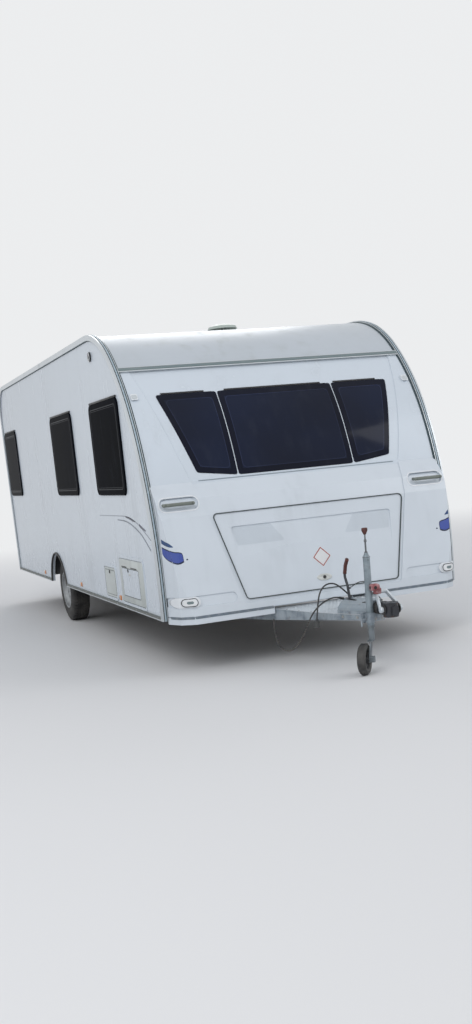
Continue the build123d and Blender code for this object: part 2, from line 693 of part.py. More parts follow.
# Straight chassis rails with lightening holes, and the cross members between them
RAIL_END = BODY_LENGTH - 330
CROSS_MEMBERS = (1250.0, 5700.0)
LIGHTENING_HOLES = (1000, 1500, 2000, 2500, 4700, 5200)

with BuildPart() as chassis_rails:
    for side in (-1, 1):
        with BuildSketch(Plane(origin=at(side * RAIL_HALF_SPREAD, RAILS_FRONT, RAIL_MIDDLE),
                               x_dir=(1, 0, 0), z_dir=(0, -1, 0))):
            rail_section(-side)
        extrude(amount=-(RAIL_END - RAILS_FRONT))
    with Locations(*[Location(at(side * RAIL_HALF_SPREAD, back, RAIL_MIDDLE), (0, 90, 0))
                     for side in (-1, 1) for back in LIGHTENING_HOLES]):
        Cylinder(32, 2 * RAIL_WIDTH, mode=Mode.SUBTRACT)
    with Locations(*[at(side * RAIL_HALF_SPREAD, AXLE_TUBE_BACK, RAIL_TOP - RAIL_DEPTH)
                     for side in (-1, 1)]):
        Box(100, 130, 90, mode=Mode.SUBTRACT)
    for back in CROSS_MEMBERS:
        reach = RAIL_HALF_SPREAD - RAIL_WIDTH / 2 - 1
        with BuildSketch(Plane(origin=at(-reach, back, RAIL_MIDDLE),
                               x_dir=(0, 1, 0), z_dir=(1, 0, 0))):
            Rectangle(40, 90)
            with Locations((4, 0)):
                Rectangle(40, 82, mode=Mode.SUBTRACT)
        extrude(amount=2 * reach)
save(chassis_rails, "chassis_rails")

# Drawbar: two channels of tapering depth, bolted inside the rails, that run together forwards
BEAM_SLOPE = (BEAM_ROOT_HALF - BEAM_TIP_HALF) / (BEAM_BEND - BEAM_TIP)
BEAM_SIDE = [(BEAM_REAR, 318), (-100, 318), (BEAM_TIP, 355), (BEAM_TIP, 390), (-540, 391),
             (-200, 403), (BEAM_REAR, 403)]


def beam_edge(back, inset=0.0):
    """Half spread of the drawbar's outer faces, or of a line set in from them, ahead of the bend."""
    return BEAM_TIP_HALF + (back - BEAM_TIP) * BEAM_SLOPE - inset / cos(atan(BEAM_SLOPE))


def beam_pair(near, far, sink):
    """Both beams between two depths inside their outer faces, set in by sink above and below."""
    with BuildPart(mode=Mode.PRIVATE) as pair:
        with BuildSketch(PLAN.offset(250)):
            for side in (-1, 1):
                lines = []
                for inset in (near, far):
                    straight = side * (BEAM_ROOT_HALF - inset)
                    bend = BEAM_BEND + inset * tan(atan(BEAM_SLOPE) / 2)
                    lines.append([(straight, BEAM_REAR), (straight, bend),
                                  (side * beam_edge(BEAM_TIP, inset), BEAM_TIP)])
                with BuildLine():
                    Polyline(*lines[0], *reversed(lines[1]), close=True)
                make_face()
        extrude(amount=250)
        with BuildSketch(SIDE):
            with BuildLine():
                Polyline(*BEAM_SIDE, close=True)
            make_face()
            if sink:
                offset(amount=-sink, kind=Kind.INTERSECTION)
        extrude(amount=BEAM_ROOT_HALF + 50, both=True, mode=Mode.INTERSECT)
    return pair.part


# Cables at the drawbar, each a tube of straight runs and tangent arcs: points as
# (x, distance back, height). The supply cable hangs over the beam and ends in its plug.
# The drawbar's clip and the cover's glands stand in line with the runs that they hold.
CABLE_RADIUS, BREAKAWAY_RADIUS = 5.5, 3.5
SUPPLY_ROUTE = [(20, -584, 476), (-34, -590, 529), (-106, -602, 588), (-182, -614, 592),
                (-236, -622, 547), (-258, -625, 472), (-269, -624, 402), (-275, -622, 352)]
CHASSIS_ROUTE = [(-44, -590, 468), (-90, -590, 486), (-152, -588, 480), (-222, -582, 448),
                 (-286, -576, 390), (-326, -566, 312), (-361, -548, 228), (-402, -516, 158),
                 (-447, -468, 122), (-480, -408, 145), (-484, -350, 200), (-470, -290, 255),
                 (-452, -240, 300), (-433, -200, 330)]
BREAKAWAY_ROUTE = [(2, -629, 545), (12, -680, 571), (19, -745, 592), (19, -818, 600),
                   (12, -892, 593), (3, -962, 569), (-3, -1028, 535), (-3, -1078, 508),
                   (-2, -1105, 497)]


def gland(end, neighbour, radius, length):
    """Adds a sleeve that a cable's end run comes out of, square to that run."""
    face = Vector(*at(*end))
    away = (face - Vector(*at(*neighbour))).normalized()
    with BuildPart(mode=Mode.PRIVATE) as sleeve:
        with BuildSketch(Plane(origin=face, z_dir=away)):
            Circle(radius)
        extrude(amount=length)
    add(sleeve.part)


with BuildPart() as drawbar:
    add(beam_pair(0, BEAM_WIDTH, 0) - beam_pair(BEAM_STEEL, BEAM_WIDTH + 5, BEAM_STEEL))
    gland(CHASSIS_ROUTE[-1], CHASSIS_ROUTE[-2], 8, 30)
save(drawbar, "drawbar")

# Step plate that covers the drawbar's triangle, lying on the beams
STEP_REAR = -150.0

with BuildPart() as step_plate:
    with BuildSketch(SIDE):
        with BuildLine():
            Polyline((STEP_REAR, 403.5), (-200, 403.5), (-540, 391.5), (BEAM_TIP, 390.5),
                     (BEAM_TIP, 393.5), (-540, 394.5), (-200, 406.5), (STEP_REAR, 406.5), close=True)
        make_face()
    extrude(amount=BEAM_ROOT_HALF, both=True)
    with BuildSketch(PLAN.offset(350)):
        with BuildLine():
            Polyline((-beam_edge(STEP_REAR, 2), STEP_REAR), (beam_edge(STEP_REAR, 2), STEP_REAR),
                     (beam_edge(BEAM_TIP, 2), BEAM_TIP), (-beam_edge(BEAM_TIP, 2), BEAM_TIP),
                     close=True)
        make_face()
    extrude(amount=100, mode=Mode.INTERSECT)
save(step_plate, "step_plate")

# The axle tube and the hanger plates that carry it, one on each face of each rail
with BuildPart() as axle_tube:
    for side in (-1, 1):
        for face in (-1, 1):
            plate_x = side * RAIL_HALF_SPREAD + face * (RAIL_WIDTH / 2 + 1)
            with BuildSketch(Plane(origin=at(plate_x, AXLE_TUBE_BACK, AXLE_TUBE_HEIGHT),
                                   x_dir=(0, 1, 0), z_dir=(face, 0, 0))):
                with BuildLine():
                    Polyline((-150, 104), (150, 104), (150, 40), (72, -66), (-72, -66), (-150, 40),
                             close=True)
                make_face()
            extrude(amount=6)
    tube_end = Plane(origin=at(-AXLE_TUBE_REACH, AXLE_TUBE_BACK, AXLE_TUBE_HEIGHT),
                     x_dir=(0, 1, 0), z_dir=(1, 0, 0))
    with BuildSketch(tube_end):
        RegularPolygon(AXLE_TUBE_RADIUS, 6)
    extrude(amount=2 * AXLE_TUBE_REACH)
    with BuildSketch(tube_end):
        RegularPolygon(AXLE_TUBE_RADIUS - AXLE_TUBE_STEEL, 6)
    extrude(amount=2 * AXLE_TUBE_REACH, mode=Mode.SUBTRACT)
save(axle_tube, "axle_tube")

with BuildPart() as suspension_arms:
    for side in (-1, 1):
        with BuildSketch(Plane(origin=at(side * (AXLE_TUBE_REACH + 2), 0, 0),
                               x_dir=(0, 1, 0), z_dir=(1, 0, 0))):
            with Locations((AXLE_TUBE_BACK, AXLE_TUBE_HEIGHT), (AXLE_BACK, TYRE_RADIUS)):
                Circle(42)
            make_hull()
        extrude(amount=side * ARM_THICKNESS)
        with Locations(Location(at(side * (AXLE_TUBE_REACH + ARM_THICKNESS), AXLE_BACK,
                                   TYRE_RADIUS), (0, side * 90, 0))):
            Cylinder(36, BACKPLATE_X - AXLE_TUBE_REACH - ARM_THICKNESS,
                     align=(Align.CENTER, Align.CENTER, Align.MIN))
            Cylinder(STUB_RADIUS, HUB_FACE - AXLE_TUBE_REACH - ARM_THICKNESS + 30,
                     align=(Align.CENTER, Align.CENTER, Align.MIN))
        with Locations(Location(at(side * BACKPLATE_X, AXLE_BACK, TYRE_RADIUS),
                                (0, side * 90, 0))):
            Cylinder(118, 4, align=(Align.CENTER, Align.CENTER, Align.MIN))
save(suspension_arms, "suspension_arms")

# Wheel sections: distance outboard of the wheel's middle, radius
RIM_SECTION = [(-89, 190), (-89, 176), (-66, 173), (-40, 150), (30, 150), (58, 168), (70, 173),
               (89, 176), (89, 190), (84, 190), (84, 181), (62, 178), (32, 156), (-38, 156),
               (-62, 178), (-84, 181), (-84, 190)]
DISC_SECTION = [(28, 32), (28, 74), (44, 96), (44, 120), (24, 153), (32, 153), (50, 122), (50, 94),
                (34, 72), (34, 32)]
DRUM_SECTION = [(-22, 118), (29, 118), (29, 27), (20, 27), (20, 108), (-22, 108)]
TYRE_SECTION = [(-82, 183), (-83, 205), (-93, 245), (-93, 275), (-82, 310), (-62, TYRE_RADIUS),
                (62, TYRE_RADIUS), (82, 310), (93, 275), (93, 245), (83, 205), (82, 183),
                (70, 183), (70, 205), (78, 245), (78, 275), (68, 300), (52, 310), (-52, 310),
                (-68, 300), (-78, 275), (-78, 245), (-70, 205), (-70, 183)]


def turned(section, side):
    """A section turned about the wheel's axle, on one side of the caravan."""
    with BuildPart(mode=Mode.PRIVATE) as ring:
        with BuildSketch(Plane(origin=at(side * WHEEL_CENTRE, AXLE_BACK, TYRE_RADIUS),
                               x_dir=(side, 0, 0), z_dir=(0, -side, 0))):
            with BuildLine():
                Polyline(*section, close=True)
            make_face()
        revolve(axis=Axis(at(0, AXLE_BACK, TYRE_RADIUS), (1, 0, 0)))
    return ring.part


for side, name in ((-1, "offside"), (1, "nearside")):
    with BuildPart() as rim:
        add(turned(RIM_SECTION, side))
        add(turned(DISC_SECTION, side))
        with Locations(Location(at(side * WHEEL_CENTRE, AXLE_BACK, TYRE_RADIUS), (0, side * 90, 0))):
            with PolarLocations(106, 10):
                Cylinder(15, 300, mode=Mode.SUBTRACT)
        add(turned(DRUM_SECTION, side))
    save(rim, f"rim_{name}")

    with BuildPart() as tyre:
        add(turned(TYRE_SECTION, side))
    save(tyre, f"tyre_{name}")

# Overrun device on the drawbar's tip: base, front flange and cover, then bellows and coupling
HEAD_REAR, HEAD_FRONT = -1090.0, -1285.0
BASE_FOOT, BASE_TOP = 395.0, 415.0
BASE_WIDEST, BASE_REAR, BASE_REAR_HALF = -755.0, -560.0, 60.0
FLANGE_FRONT = BEAM_TIP - 12
COVER_SIDE, COVER_TOP = 20.0, 461.0
LEVER_X, SLOT_MIDDLE = -10.0, -655.0


def base_outline(inset):
    """Plan of the overrun base: along the beams at the front, tapered to the rear."""
    front = BEAM_TIP + inset
    with BuildLine() as outline:
        Polyline((beam_edge(front, inset), front), (beam_edge(BASE_WIDEST, inset), BASE_WIDEST),
                 (BASE_REAR_HALF - inset, BASE_REAR - inset),
                 (-BASE_REAR_HALF + inset, BASE_REAR - inset),
                 (-beam_edge(BASE_WIDEST, inset), BASE_WIDEST), (-beam_edge(front, inset), front),
                 close=True)
    make_face(outline.edges())


with BuildPart() as overrun_housing:
    with BuildSketch(PLAN.offset(BASE_FOOT)):
        base_outline(0)
    extrude(amount=BASE_TOP - BASE_FOOT)
    box_between((-110, FLANGE_FRONT, 350), (53, BEAM_TIP - 1, BASE_TOP))
    box_between((-52, FLANGE_FRONT, BASE_TOP - 10), (52, BEAM_TIP, BALL_HEIGHT + 48), 14)
    with BuildSketch(Plane(origin=at(0, FLANGE_FRONT, BALL_HEIGHT),
                           x_dir=(1, 0, 0), z_dir=(0, -1, 0))):
        Circle(29)
    extrude(amount=11)
save(overrun_housing, "overrun_housing")

with BuildPart() as housing_cover:
    with BuildSketch(PLAN.offset(BASE_TOP + 0.5)):
        base_outline(4)
    extrude(amount=COVER_SIDE)
    with BuildSketch(PLAN.offset(BASE_TOP + 0.5 + COVER_SIDE)):
        base_outline(4)
    extrude(amount=COVER_TOP - BASE_TOP - COVER_SIDE - 0.5, taper=42)
    with BuildSketch(PLAN.offset(COVER_TOP + 1)):
        with Locations((LEVER_X, SLOT_MIDDLE)):
            SlotOverall(130, 30, rotation=90)
        with Locations((-12, -868)):
            Circle(17)
    extrude(amount=-34, mode=Mode.SUBTRACT)
    gland(SUPPLY_ROUTE[0], SUPPLY_ROUTE[1], 9, 40)
    gland(CHASSIS_ROUTE[0], CHASSIS_ROUTE[1], 8, 18)
save(housing_cover, "housing_cover")

with BuildPart() as bellows:
    bellows_rear = FLANGE_FRONT - 12
    with BuildSketch(Plane(origin=at(0, bellows_rear, BALL_HEIGHT),
                           x_dir=(0, -1, 0), z_dir=(1, 0, 0))):
        length = bellows_rear - HEAD_REAR
        folds = 5
        pitch = length / folds
        outline = [(0, 0), (0, 36)]
        for fold in range(folds):
            outline += [(pitch * (fold + 0.5), 43), (pitch * (fold + 1), 33)]
        outline += [(length, 0)]
        with BuildLine():
            Polyline(*outline, close=True)
        make_face()
    revolve(axis=Axis(at(0, 0, BALL_HEIGHT), (0, 1, 0)))
save(bellows, "bellows")

with BuildPart() as coupling_head:
    box_between((-38, BALL_BACK - 20, BALL_HEIGHT - 34), (38, HEAD_REAR - 1, BALL_HEIGHT + 46), 12)
    with Locations(at(0, BALL_BACK, BALL_HEIGHT - 44)):
        Cylinder(52, 96, align=(Align.CENTER, Align.CENTER, Align.MIN))
    box_between((-24, HEAD_FRONT, BALL_HEIGHT - 30), (24, BALL_BACK - 20, BALL_HEIGHT + 30), 14)
    with Locations(at(0, BALL_BACK, BALL_HEIGHT)):
        Sphere(BALL_RADIUS + 0.3, mode=Mode.SUBTRACT)
        Cylinder(BALL_RADIUS + 0.3, 60, align=(Align.CENTER, Align.CENTER, Align.MAX),
                 mode=Mode.SUBTRACT)
    with Locations(at(-2, -1112, BALL_HEIGHT + 45)):
        Cylinder(7, 8)
save(coupling_head, "coupling_head")

# Stabiliser: a round friction pad on each side of the ball, and the handle that closes on them
PAD_HEIGHT = BALL_HEIGHT + 8

with BuildPart() as friction_pads:
    for side in (-1, 1):
        with Locations(Location(at(side * 53, BALL_BACK, PAD_HEIGHT), (0, side * 90, 0))):
            Cylinder(34, 6, align=(Align.CENTER, Align.CENTER, Align.MIN))
save(friction_pads, "friction_pads")

HANDLE_TOP = (38.0, -1088.0, 556.0)

with BuildPart() as coupling_handle:
    for side in (-1, 1):
        foot = Vector(*at(side * 75, BALL_BACK, PAD_HEIGHT))
        top = Vector(*at(side * HANDLE_TOP[0], HANDLE_TOP[1], HANDLE_TOP[2]))
        along = (top - foot).normalized()
        with BuildSketch(Plane(origin=foot, x_dir=Vector(1, 0, 0) - along * along.X, z_dir=along)):
            RectangleRounded(11, 28, 4)
        extrude(amount=(top - foot).length)
        with Locations(Location(at(side * 60, BALL_BACK, PAD_HEIGHT), (0, side * 90, 0))):
            Cylinder(21, 22, align=(Align.CENTER, Align.CENTER, Align.MIN))
    box_between((-48, HANDLE_TOP[1] - 16, HANDLE_TOP[2] - 14),
                (48, HANDLE_TOP[1] + 14, HANDLE_TOP[2] + 12), 8)
    with Locations(at(-16, HANDLE_TOP[1] + 18, HANDLE_TOP[2] + 30)):
        Box(56, 56, 44)
save(coupling_handle, "coupling_handle")

# Handbrake lever: an S-bent bar out of the cover's slot, with its grip and the eye of a cable
LEVER_BAR = [(-637.0, 434.0), (-606.0, 560.0), (-570.0, 626.0), (-594.0, 700.0), (-629.0, 748.0)]
LEVER_GRIP = [(-575.0, 642.0), (-594.0, 700.0), (-629.0, 748.0)]
CABLE_EYE = (0.0, -620.0, 540.0)


def lever_path(points, radius):
    """A bent path in the plane of the lever, from (distance back, height) points."""
    return FilletPolyline(*[at(LEVER_X, back, height) for back, height in points], radius=radius)


with BuildPart() as handbrake_lever:
    for points, radius, section in ((LEVER_BAR, 40, (14, 22, 5)), (LEVER_GRIP, 60, (24, 28, 11))):
        with BuildLine():
            run = lever_path(points, radius)
        with BuildSketch(Plane(origin=run @ 0, x_dir=(1, 0, 0), z_dir=run % 0)):
            RectangleRounded(*section)
        sweep(path=run)
    with Locations(at(*CABLE_EYE)):
        Sphere(7)
save(handbrake_lever, "handbrake_lever")

# Jockey leg: clamp, outer tube with its crank, inner tube, castor fork and wheel
CLAMP_FOOT, CLAMP_TOP = 347.0, 404.0
OUTER_FOOT, OUTER_TOP = 318.0, 795.0
INNER_FOOT = 229.0

with BuildPart() as jockey_clamp:
    box_between((-113, FLANGE_FRONT - 10, CLAMP_FOOT), (53, FLANGE_FRONT - 1, CLAMP_TOP))
    box_between((LEG_X - 22, LEG_BACK, CLAMP_FOOT + 4), (LEG_X + 28, FLANGE_FRONT - 5, CLAMP_TOP))
    with Locations(at(LEG_X, LEG_BACK, CLAMP_FOOT)):
        Cylinder(30, CLAMP_TOP + 12 - CLAMP_FOOT, align=(Align.CENTER, Align.CENTER, Align.MIN))
    with Locations(Location(at(LEG_X - 20, LEG_BACK, (CLAMP_FOOT + CLAMP_TOP) / 2), (0, -90, 0))):
        Cylinder(6, 52, align=(Align.CENTER, Align.CENTER, Align.MIN))
    with Locations(at(LEG_X - 68, LEG_BACK, (CLAMP_FOOT + CLAMP_TOP) / 2)):
        Cylinder(6, 90)
    with Locations(at(LEG_X, LEG_BACK, CLAMP_FOOT - 5)):
        Cylinder(LEG_RADIUS + 0.5, 200, align=(Align.CENTER, Align.CENTER, Align.MIN),
                 mode=Mode.SUBTRACT)
save(jockey_clamp, "jockey_clamp")

with BuildPart() as jockey_outer_tube:
    with Locations(at(LEG_X, LEG_BACK, OUTER_FOOT)):
        Cylinder(LEG_RADIUS, OUTER_TOP - OUTER_FOOT, align=(Align.CENTER, Align.CENTER, Align.MIN))
    with Locations(at(LEG_X, LEG_BACK, OUTER_TOP)):
        Cone(LEG_RADIUS, 11, 27, align=(Align.CENTER, Align.CENTER, Align.MIN))
    with Locations(at(LEG_X, LEG_BACK, OUTER_FOOT)):
        Cylinder(LEG_RADIUS - LEG_STEEL, OUTER_TOP - OUTER_FOOT - 8,
                 align=(Align.CENTER, Align.CENTER, Align.MIN), mode=Mode.SUBTRACT)
save(jockey_outer_tube, "jockey_outer_tube")

# The crank's arm points away from the coupling, and its grip stands on the end
CRANK_ROD_TOP, CRANK_GRIP_TOP, CRANK_REACH = 905.0, 984.0, 58.0

with BuildPart() as jockey_crank:
    with Locations(at(LEG_X, LEG_BACK, OUTER_TOP + 28)):
        Cylinder(7, CRANK_ROD_TOP - OUTER_TOP - 28, align=(Align.CENTER, Align.CENTER, Align.MIN))
    box_between((LEG_X - 9, LEG_BACK - 9, CRANK_ROD_TOP - 10),
                (LEG_X + 9, LEG_BACK + CRANK_REACH + 9, CRANK_ROD_TOP), 3)
    with Locations(at(LEG_X, LEG_BACK + CRANK_REACH, CRANK_ROD_TOP - 1)):
        Cone(12, 21, CRANK_GRIP_TOP - CRANK_ROD_TOP - 8,
             align=(Align.CENTER, Align.CENTER, Align.MIN))
    with Locations(at(LEG_X, LEG_BACK + CRANK_REACH, CRANK_GRIP_TOP - 9.5)):
        Cone(21, 16, 9.5, align=(Align.CENTER, Align.CENTER, Align.MIN))
save(jockey_crank, "jockey_crank")

inner_radius = LEG_RADIUS - LEG_STEEL - 0.35

with BuildPart() as jockey_inner_tube:
    with Locations(at(LEG_X, LEG_BACK, INNER_FOOT)):
        Cylinder(inner_radius, 420, align=(Align.CENTER, Align.CENTER, Align.MIN))
        Cylinder(10.4, 60, mode=Mode.SUBTRACT)
save(jockey_inner_tube, "jockey_inner_tube")

# One-sided castor fork: local x trails behind the leg, local y runs along the wheel's axle
TRAIL = Vector(-0.66, -0.7513, 0).normalized()
AXLE_DIRECTION = Vector(-TRAIL.Y, TRAIL.X, 0) * -1
CASTOR = Plane(origin=at(LEG_X, LEG_BACK, 0), x_dir=TRAIL, z_dir=(0, 0, 1))
FORK_TOP = INNER_FOOT - 1


def fork_plane(across):
    """A plane square to the jockey wheel's axle, with x along the trail and y up."""
    return Plane(origin=CASTOR.from_local_coords((0, across, 0)), x_dir=TRAIL,
                 z_dir=TRAIL.cross(Vector(0, 0, 1)))


with BuildPart() as jockey_fork:
    with BuildSketch(CASTOR.offset(FORK_TOP - 6)):
        with Locations((0, -8)):
            RectangleRounded(56, 40, 12)
    extrude(amount=6)
    with BuildSketch(CASTOR.offset(FORK_TOP - 3)):
        Circle(10)
    extrude(amount=28)
    with BuildSketch(fork_plane(-5)):
        with BuildLine():
            Polyline((-24, FORK_TOP - 3), (26, FORK_TOP - 3),
                     (JOCKEY_TRAIL + 22, JOCKEY_RADIUS + 10), (JOCKEY_TRAIL + 20, JOCKEY_RADIUS - 22),
                     (JOCKEY_TRAIL - 18, JOCKEY_RADIUS - 22), close=True)
        make_face()
    extrude(amount=3.5, both=True)
    with BuildSketch(fork_plane(-5)):
        with Locations((JOCKEY_TRAIL, JOCKEY_RADIUS)):
            RectangleRounded(38, 42, 8)
    extrude(amount=-32)
    with BuildSketch(fork_plane(-5)):
        with Locations((JOCKEY_TRAIL, JOCKEY_RADIUS)):
            Circle(7)
    extrude(amount=JOCKEY_WIDTH / 2 - JOCKEY_OFFSET + 5)
    with BuildSketch(fork_plane(JOCKEY_OFFSET - JOCKEY_WIDTH / 2 - 2)):
        with Locations((JOCKEY_TRAIL, JOCKEY_RADIUS)):
            Circle(14)
    extrude(amount=5)
save(jockey_fork, "jockey_fork")

with BuildPart() as jockey_wheel:
    hub = Plane(origin=CASTOR.from_local_coords((JOCKEY_TRAIL, JOCKEY_OFFSET, JOCKEY_RADIUS)),
                x_dir=TRAIL.cross(Vector(0, 0, 1)), z_dir=TRAIL)
    with BuildSketch(hub):
        with BuildLine():
            Polyline((-29, 7.4), (29, 7.4), (29, 24), (10, 28), (8, 64), (22, 70), (29, 80),
                     (29, 94), (18, JOCKEY_RADIUS), (-18, JOCKEY_RADIUS), (-29, 94), (-29, 80),
                     (-22, 70), (-8, 64), (-10, 28), (-29, 24), close=True)
        make_face()
    revolve(axis=Axis(hub.origin, hub.x_dir))
    with BuildSketch(fork_plane(JOCKEY_OFFSET + 40)):
        with Locations((JOCKEY_TRAIL, JOCKEY_RADIUS)):
            with PolarLocations(47, 5):
                RectangleRounded(24, 30, 9)
    extrude(amount=80, mode=Mode.SUBTRACT)
save(jockey_wheel, "jockey_wheel")

def cable(route, radius):
    """A tube along a route whose corners are arcs as large as their runs allow."""
    points = [Vector(*at(*point)) for point in route]
    bends = []
    for before, corner, after in zip(points, points[1:], points[2:]):
        turn = radians((corner - before).get_angle(after - corner))
        shorter = min((corner - before).length, (after - corner).length)
        bends.append(0.45 * shorter / tan(turn / 2))
    print("tightest bend", round(min(bends)), "for a radius of", radius)
    with BuildPart(mode=Mode.PRIVATE) as tube:
        with BuildLine():
            run = FilletPolyline(*points, radius=bends)
        with BuildSketch(Plane(origin=run @ 0, z_dir=run % 0)):
            Circle(radius)
        sweep(path=run)
    print("length", round(run.length), "volume ratio",
          round(tube.part.volume / (3.14159 * radius ** 2 * run.length), 3))
    return tube.part


for node, route, radius in (("supply_cable", SUPPLY_ROUTE, CABLE_RADIUS),
                            ("chassis_cable", CHASSIS_ROUTE, CABLE_RADIUS),
                            ("breakaway_cable", BREAKAWAY_ROUTE, BREAKAWAY_RADIUS)):
    with BuildPart() as free_cable:
        add(cable(route, radius))
    save(free_cable, node)

with BuildPart() as supply_plug:
    plug_top = Vector(*at(*SUPPLY_ROUTE[-1]))
    plug_down = (plug_top - Vector(*at(*SUPPLY_ROUTE[-2]))).normalized()
    with BuildSketch(Plane(origin=plug_top + plug_down * 0.3, z_dir=plug_down)):
        Circle(11)
    extrude(amount=16)
    with BuildSketch(Plane(origin=plug_top + plug_down * 16, z_dir=plug_down)):
        Circle(19)
    extrude(amount=42)
save(supply_plug, "supply_plug")

# Corner steadies: hinge x and distance back, direction in which the folded leg points
STEADY_X, STEADY_HINGE, STEADY_REACH = 800.0, 400.0, 440.0
STEADIES = {"front_offside": (-1, 1150.0, -1), "front_nearside": (1, 1150.0, -1),
            "rear_offside": (-1, 5150.0, 1), "rear_nearside": (1, 5150.0, 1)}

with BuildPart() as steady_brackets:
    for side, hinge, way in STEADIES.values():
        with Locations(at(side * STEADY_X, hinge, (STEADY_HINGE + 28 + RAIL_TOP) / 2)):
            Box(90, 90, RAIL_TOP - STEADY_HINGE - 28)
        with Locations(*[at(side * STEADY_X + ear * 37, hinge, STEADY_HINGE + 5) for ear in (-1, 1)]):
            Box(6, 50, 50)
    for side, hinge, way in STEADIES.values():
        with Locations(Location(at(side * STEADY_X, hinge, STEADY_HINGE), (0, 90, 0))):
            Cylinder(7, 88)
save(steady_brackets, "steady_brackets")

for name, (side, hinge, way) in STEADIES.items():
    with BuildPart() as steady:
        low_y, high_y = sorted((hinge - way * 18, hinge + way * STEADY_REACH))
        box_between((side * STEADY_X - 28, low_y, STEADY_HINGE - 16),
                    (side * STEADY_X + 28, high_y, STEADY_HINGE + 14))
        with Locations(at(side * STEADY_X, (low_y + high_y) / 2, STEADY_HINGE - 3)):
            Box(50, high_y - low_y - 8, 30, mode=Mode.SUBTRACT)
        foot = hinge + way * STEADY_REACH
        box_between((side * STEADY_X - 50, foot - 45, STEADY_HINGE + 15),
                    (side * STEADY_X + 50, foot + 45, STEADY_HINGE + 20))
        box_between((side * STEADY_X - 28, foot - 20, STEADY_HINGE - 16),
                    (side * STEADY_X + 28, foot + 20, STEADY_HINGE + 16))
        with Locations(Location(at(side * STEADY_X, hinge, STEADY_HINGE), (0, 90, 0))):
            Cylinder(7.5, 200, mode=Mode.SUBTRACT)
    save(steady, f"steady_{name}")
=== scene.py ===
from math import cos, pi, radians, sin, tan

import bmesh
import bpy
from mathutils import Matrix, Vector
from mathutils.bvhtree import BVHTree


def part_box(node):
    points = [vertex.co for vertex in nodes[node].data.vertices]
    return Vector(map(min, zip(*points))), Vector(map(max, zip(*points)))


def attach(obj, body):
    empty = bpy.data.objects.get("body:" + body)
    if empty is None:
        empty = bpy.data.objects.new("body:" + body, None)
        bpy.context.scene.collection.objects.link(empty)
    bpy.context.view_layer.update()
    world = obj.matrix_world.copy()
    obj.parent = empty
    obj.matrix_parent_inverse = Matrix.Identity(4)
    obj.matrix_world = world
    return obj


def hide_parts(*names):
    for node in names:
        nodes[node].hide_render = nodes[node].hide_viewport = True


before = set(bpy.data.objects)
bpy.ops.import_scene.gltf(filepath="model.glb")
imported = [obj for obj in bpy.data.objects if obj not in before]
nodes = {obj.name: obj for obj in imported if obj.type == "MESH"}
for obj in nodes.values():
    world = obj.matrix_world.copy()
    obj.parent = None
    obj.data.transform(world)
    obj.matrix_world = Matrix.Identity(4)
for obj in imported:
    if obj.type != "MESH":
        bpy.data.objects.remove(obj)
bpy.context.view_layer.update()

FRONT_FOOT = -2.480


def at(x, back, height):
    """A point from its distance behind the body's front foot, in metres."""
    return Vector((x, FRONT_FOOT + back, height))


# Camera: where the photograph was taken from, a little left of the front and at eye height.
# Its lens covers the tall frame, and the shift sets the horizon where the photograph has it.
CAMERA_PLACE = Vector((-3.4015, -10.1023, 1.5216))
CAMERA_YAW, CAMERA_PITCH, CAMERA_ROLL = radians(19.5), radians(-11.4), radians(-5.4)
look = Vector((sin(CAMERA_YAW) * cos(CAMERA_PITCH), cos(CAMERA_YAW) * cos(CAMERA_PITCH),
               sin(CAMERA_PITCH)))
level = Vector((cos(CAMERA_YAW), -sin(CAMERA_YAW), 0))
upright = level.cross(look)
across = level * cos(CAMERA_ROLL) + upright * sin(CAMERA_ROLL)
above = upright * cos(CAMERA_ROLL) - level * sin(CAMERA_ROLL)
camera = bpy.data.objects.new("camera", bpy.data.cameras.new("camera"))
camera.matrix_world = Matrix.Translation(CAMERA_PLACE) @ Matrix(
    (across, above, -look)).transposed().to_4x4()
camera.data.sensor_width = 36
camera.data.lens = 38.33
camera.data.shift_y = 0.1627
camera.data.clip_end = 200
bpy.context.collection.objects.link(camera)
bpy.context.scene.camera = camera


# Cables at the drawbar: black sheathed leads that hang free between a gland and a plug or clip.
# Each is a smooth line through the same points as the CAD's route, with a round section.
def add_node(tree, kind, inputs=None, **settings):
    """Adds a shader node, sets it, and joins or fills its inputs."""
    node = tree.nodes.new("ShaderNode" + kind)
    for name, value in settings.items():
        setattr(node, name, value)
    for name, value in (inputs or {}).items():
        if isinstance(value, bpy.types.NodeSocket):
            tree.links.new(value, node.inputs[name])
        else:
            node.inputs[name].default_value = value
    return node


def own_place(tree):
    """The object's own coordinates."""
    return add_node(tree, "TexCoord").outputs["Object"]


def noise(tree, scale, detail=4.0, stretch=(1, 1, 1)):
    """Noise over the object's own coordinates, drawn out along an axis where its stretch is low."""
    place = own_place(tree)
    if stretch != (1, 1, 1):
        place = add_node(tree, "Mapping", {"Vector": place, "Scale": stretch}).outputs[0]
    return add_node(tree, "TexNoise", {"Vector": place, "Scale": scale,
                                       "Detail": detail}).outputs["Fac"]


def worked(tree, operation, *values, clamp=False):
    """The result of a Math node."""
    return add_node(tree, "Math", dict(enumerate(values)), operation=operation,
                    use_clamp=clamp).outputs[0]


def between(tree, value, low, high, out_low=0.0, out_high=1.0):
    """Eases a value's range onto another."""
    return add_node(tree, "MapRange", {"Value": value, "From Min": low, "From Max": high,
                                       "To Min": out_low, "To Max": out_high},
                    interpolation_type="SMOOTHSTEP").outputs[0]


def mixed(tree, factor, first, second):
    """Two colours mixed by a mask."""
    return add_node(tree, "Mix", {0: factor, 6: first, 7: second}, data_type="RGBA").outputs[2]


def height_of(tree):
    """How high a point of the surface lies above the ground."""
    return add_node(tree, "SeparateXYZ", {0: own_place(tree)}).outputs["Z"]


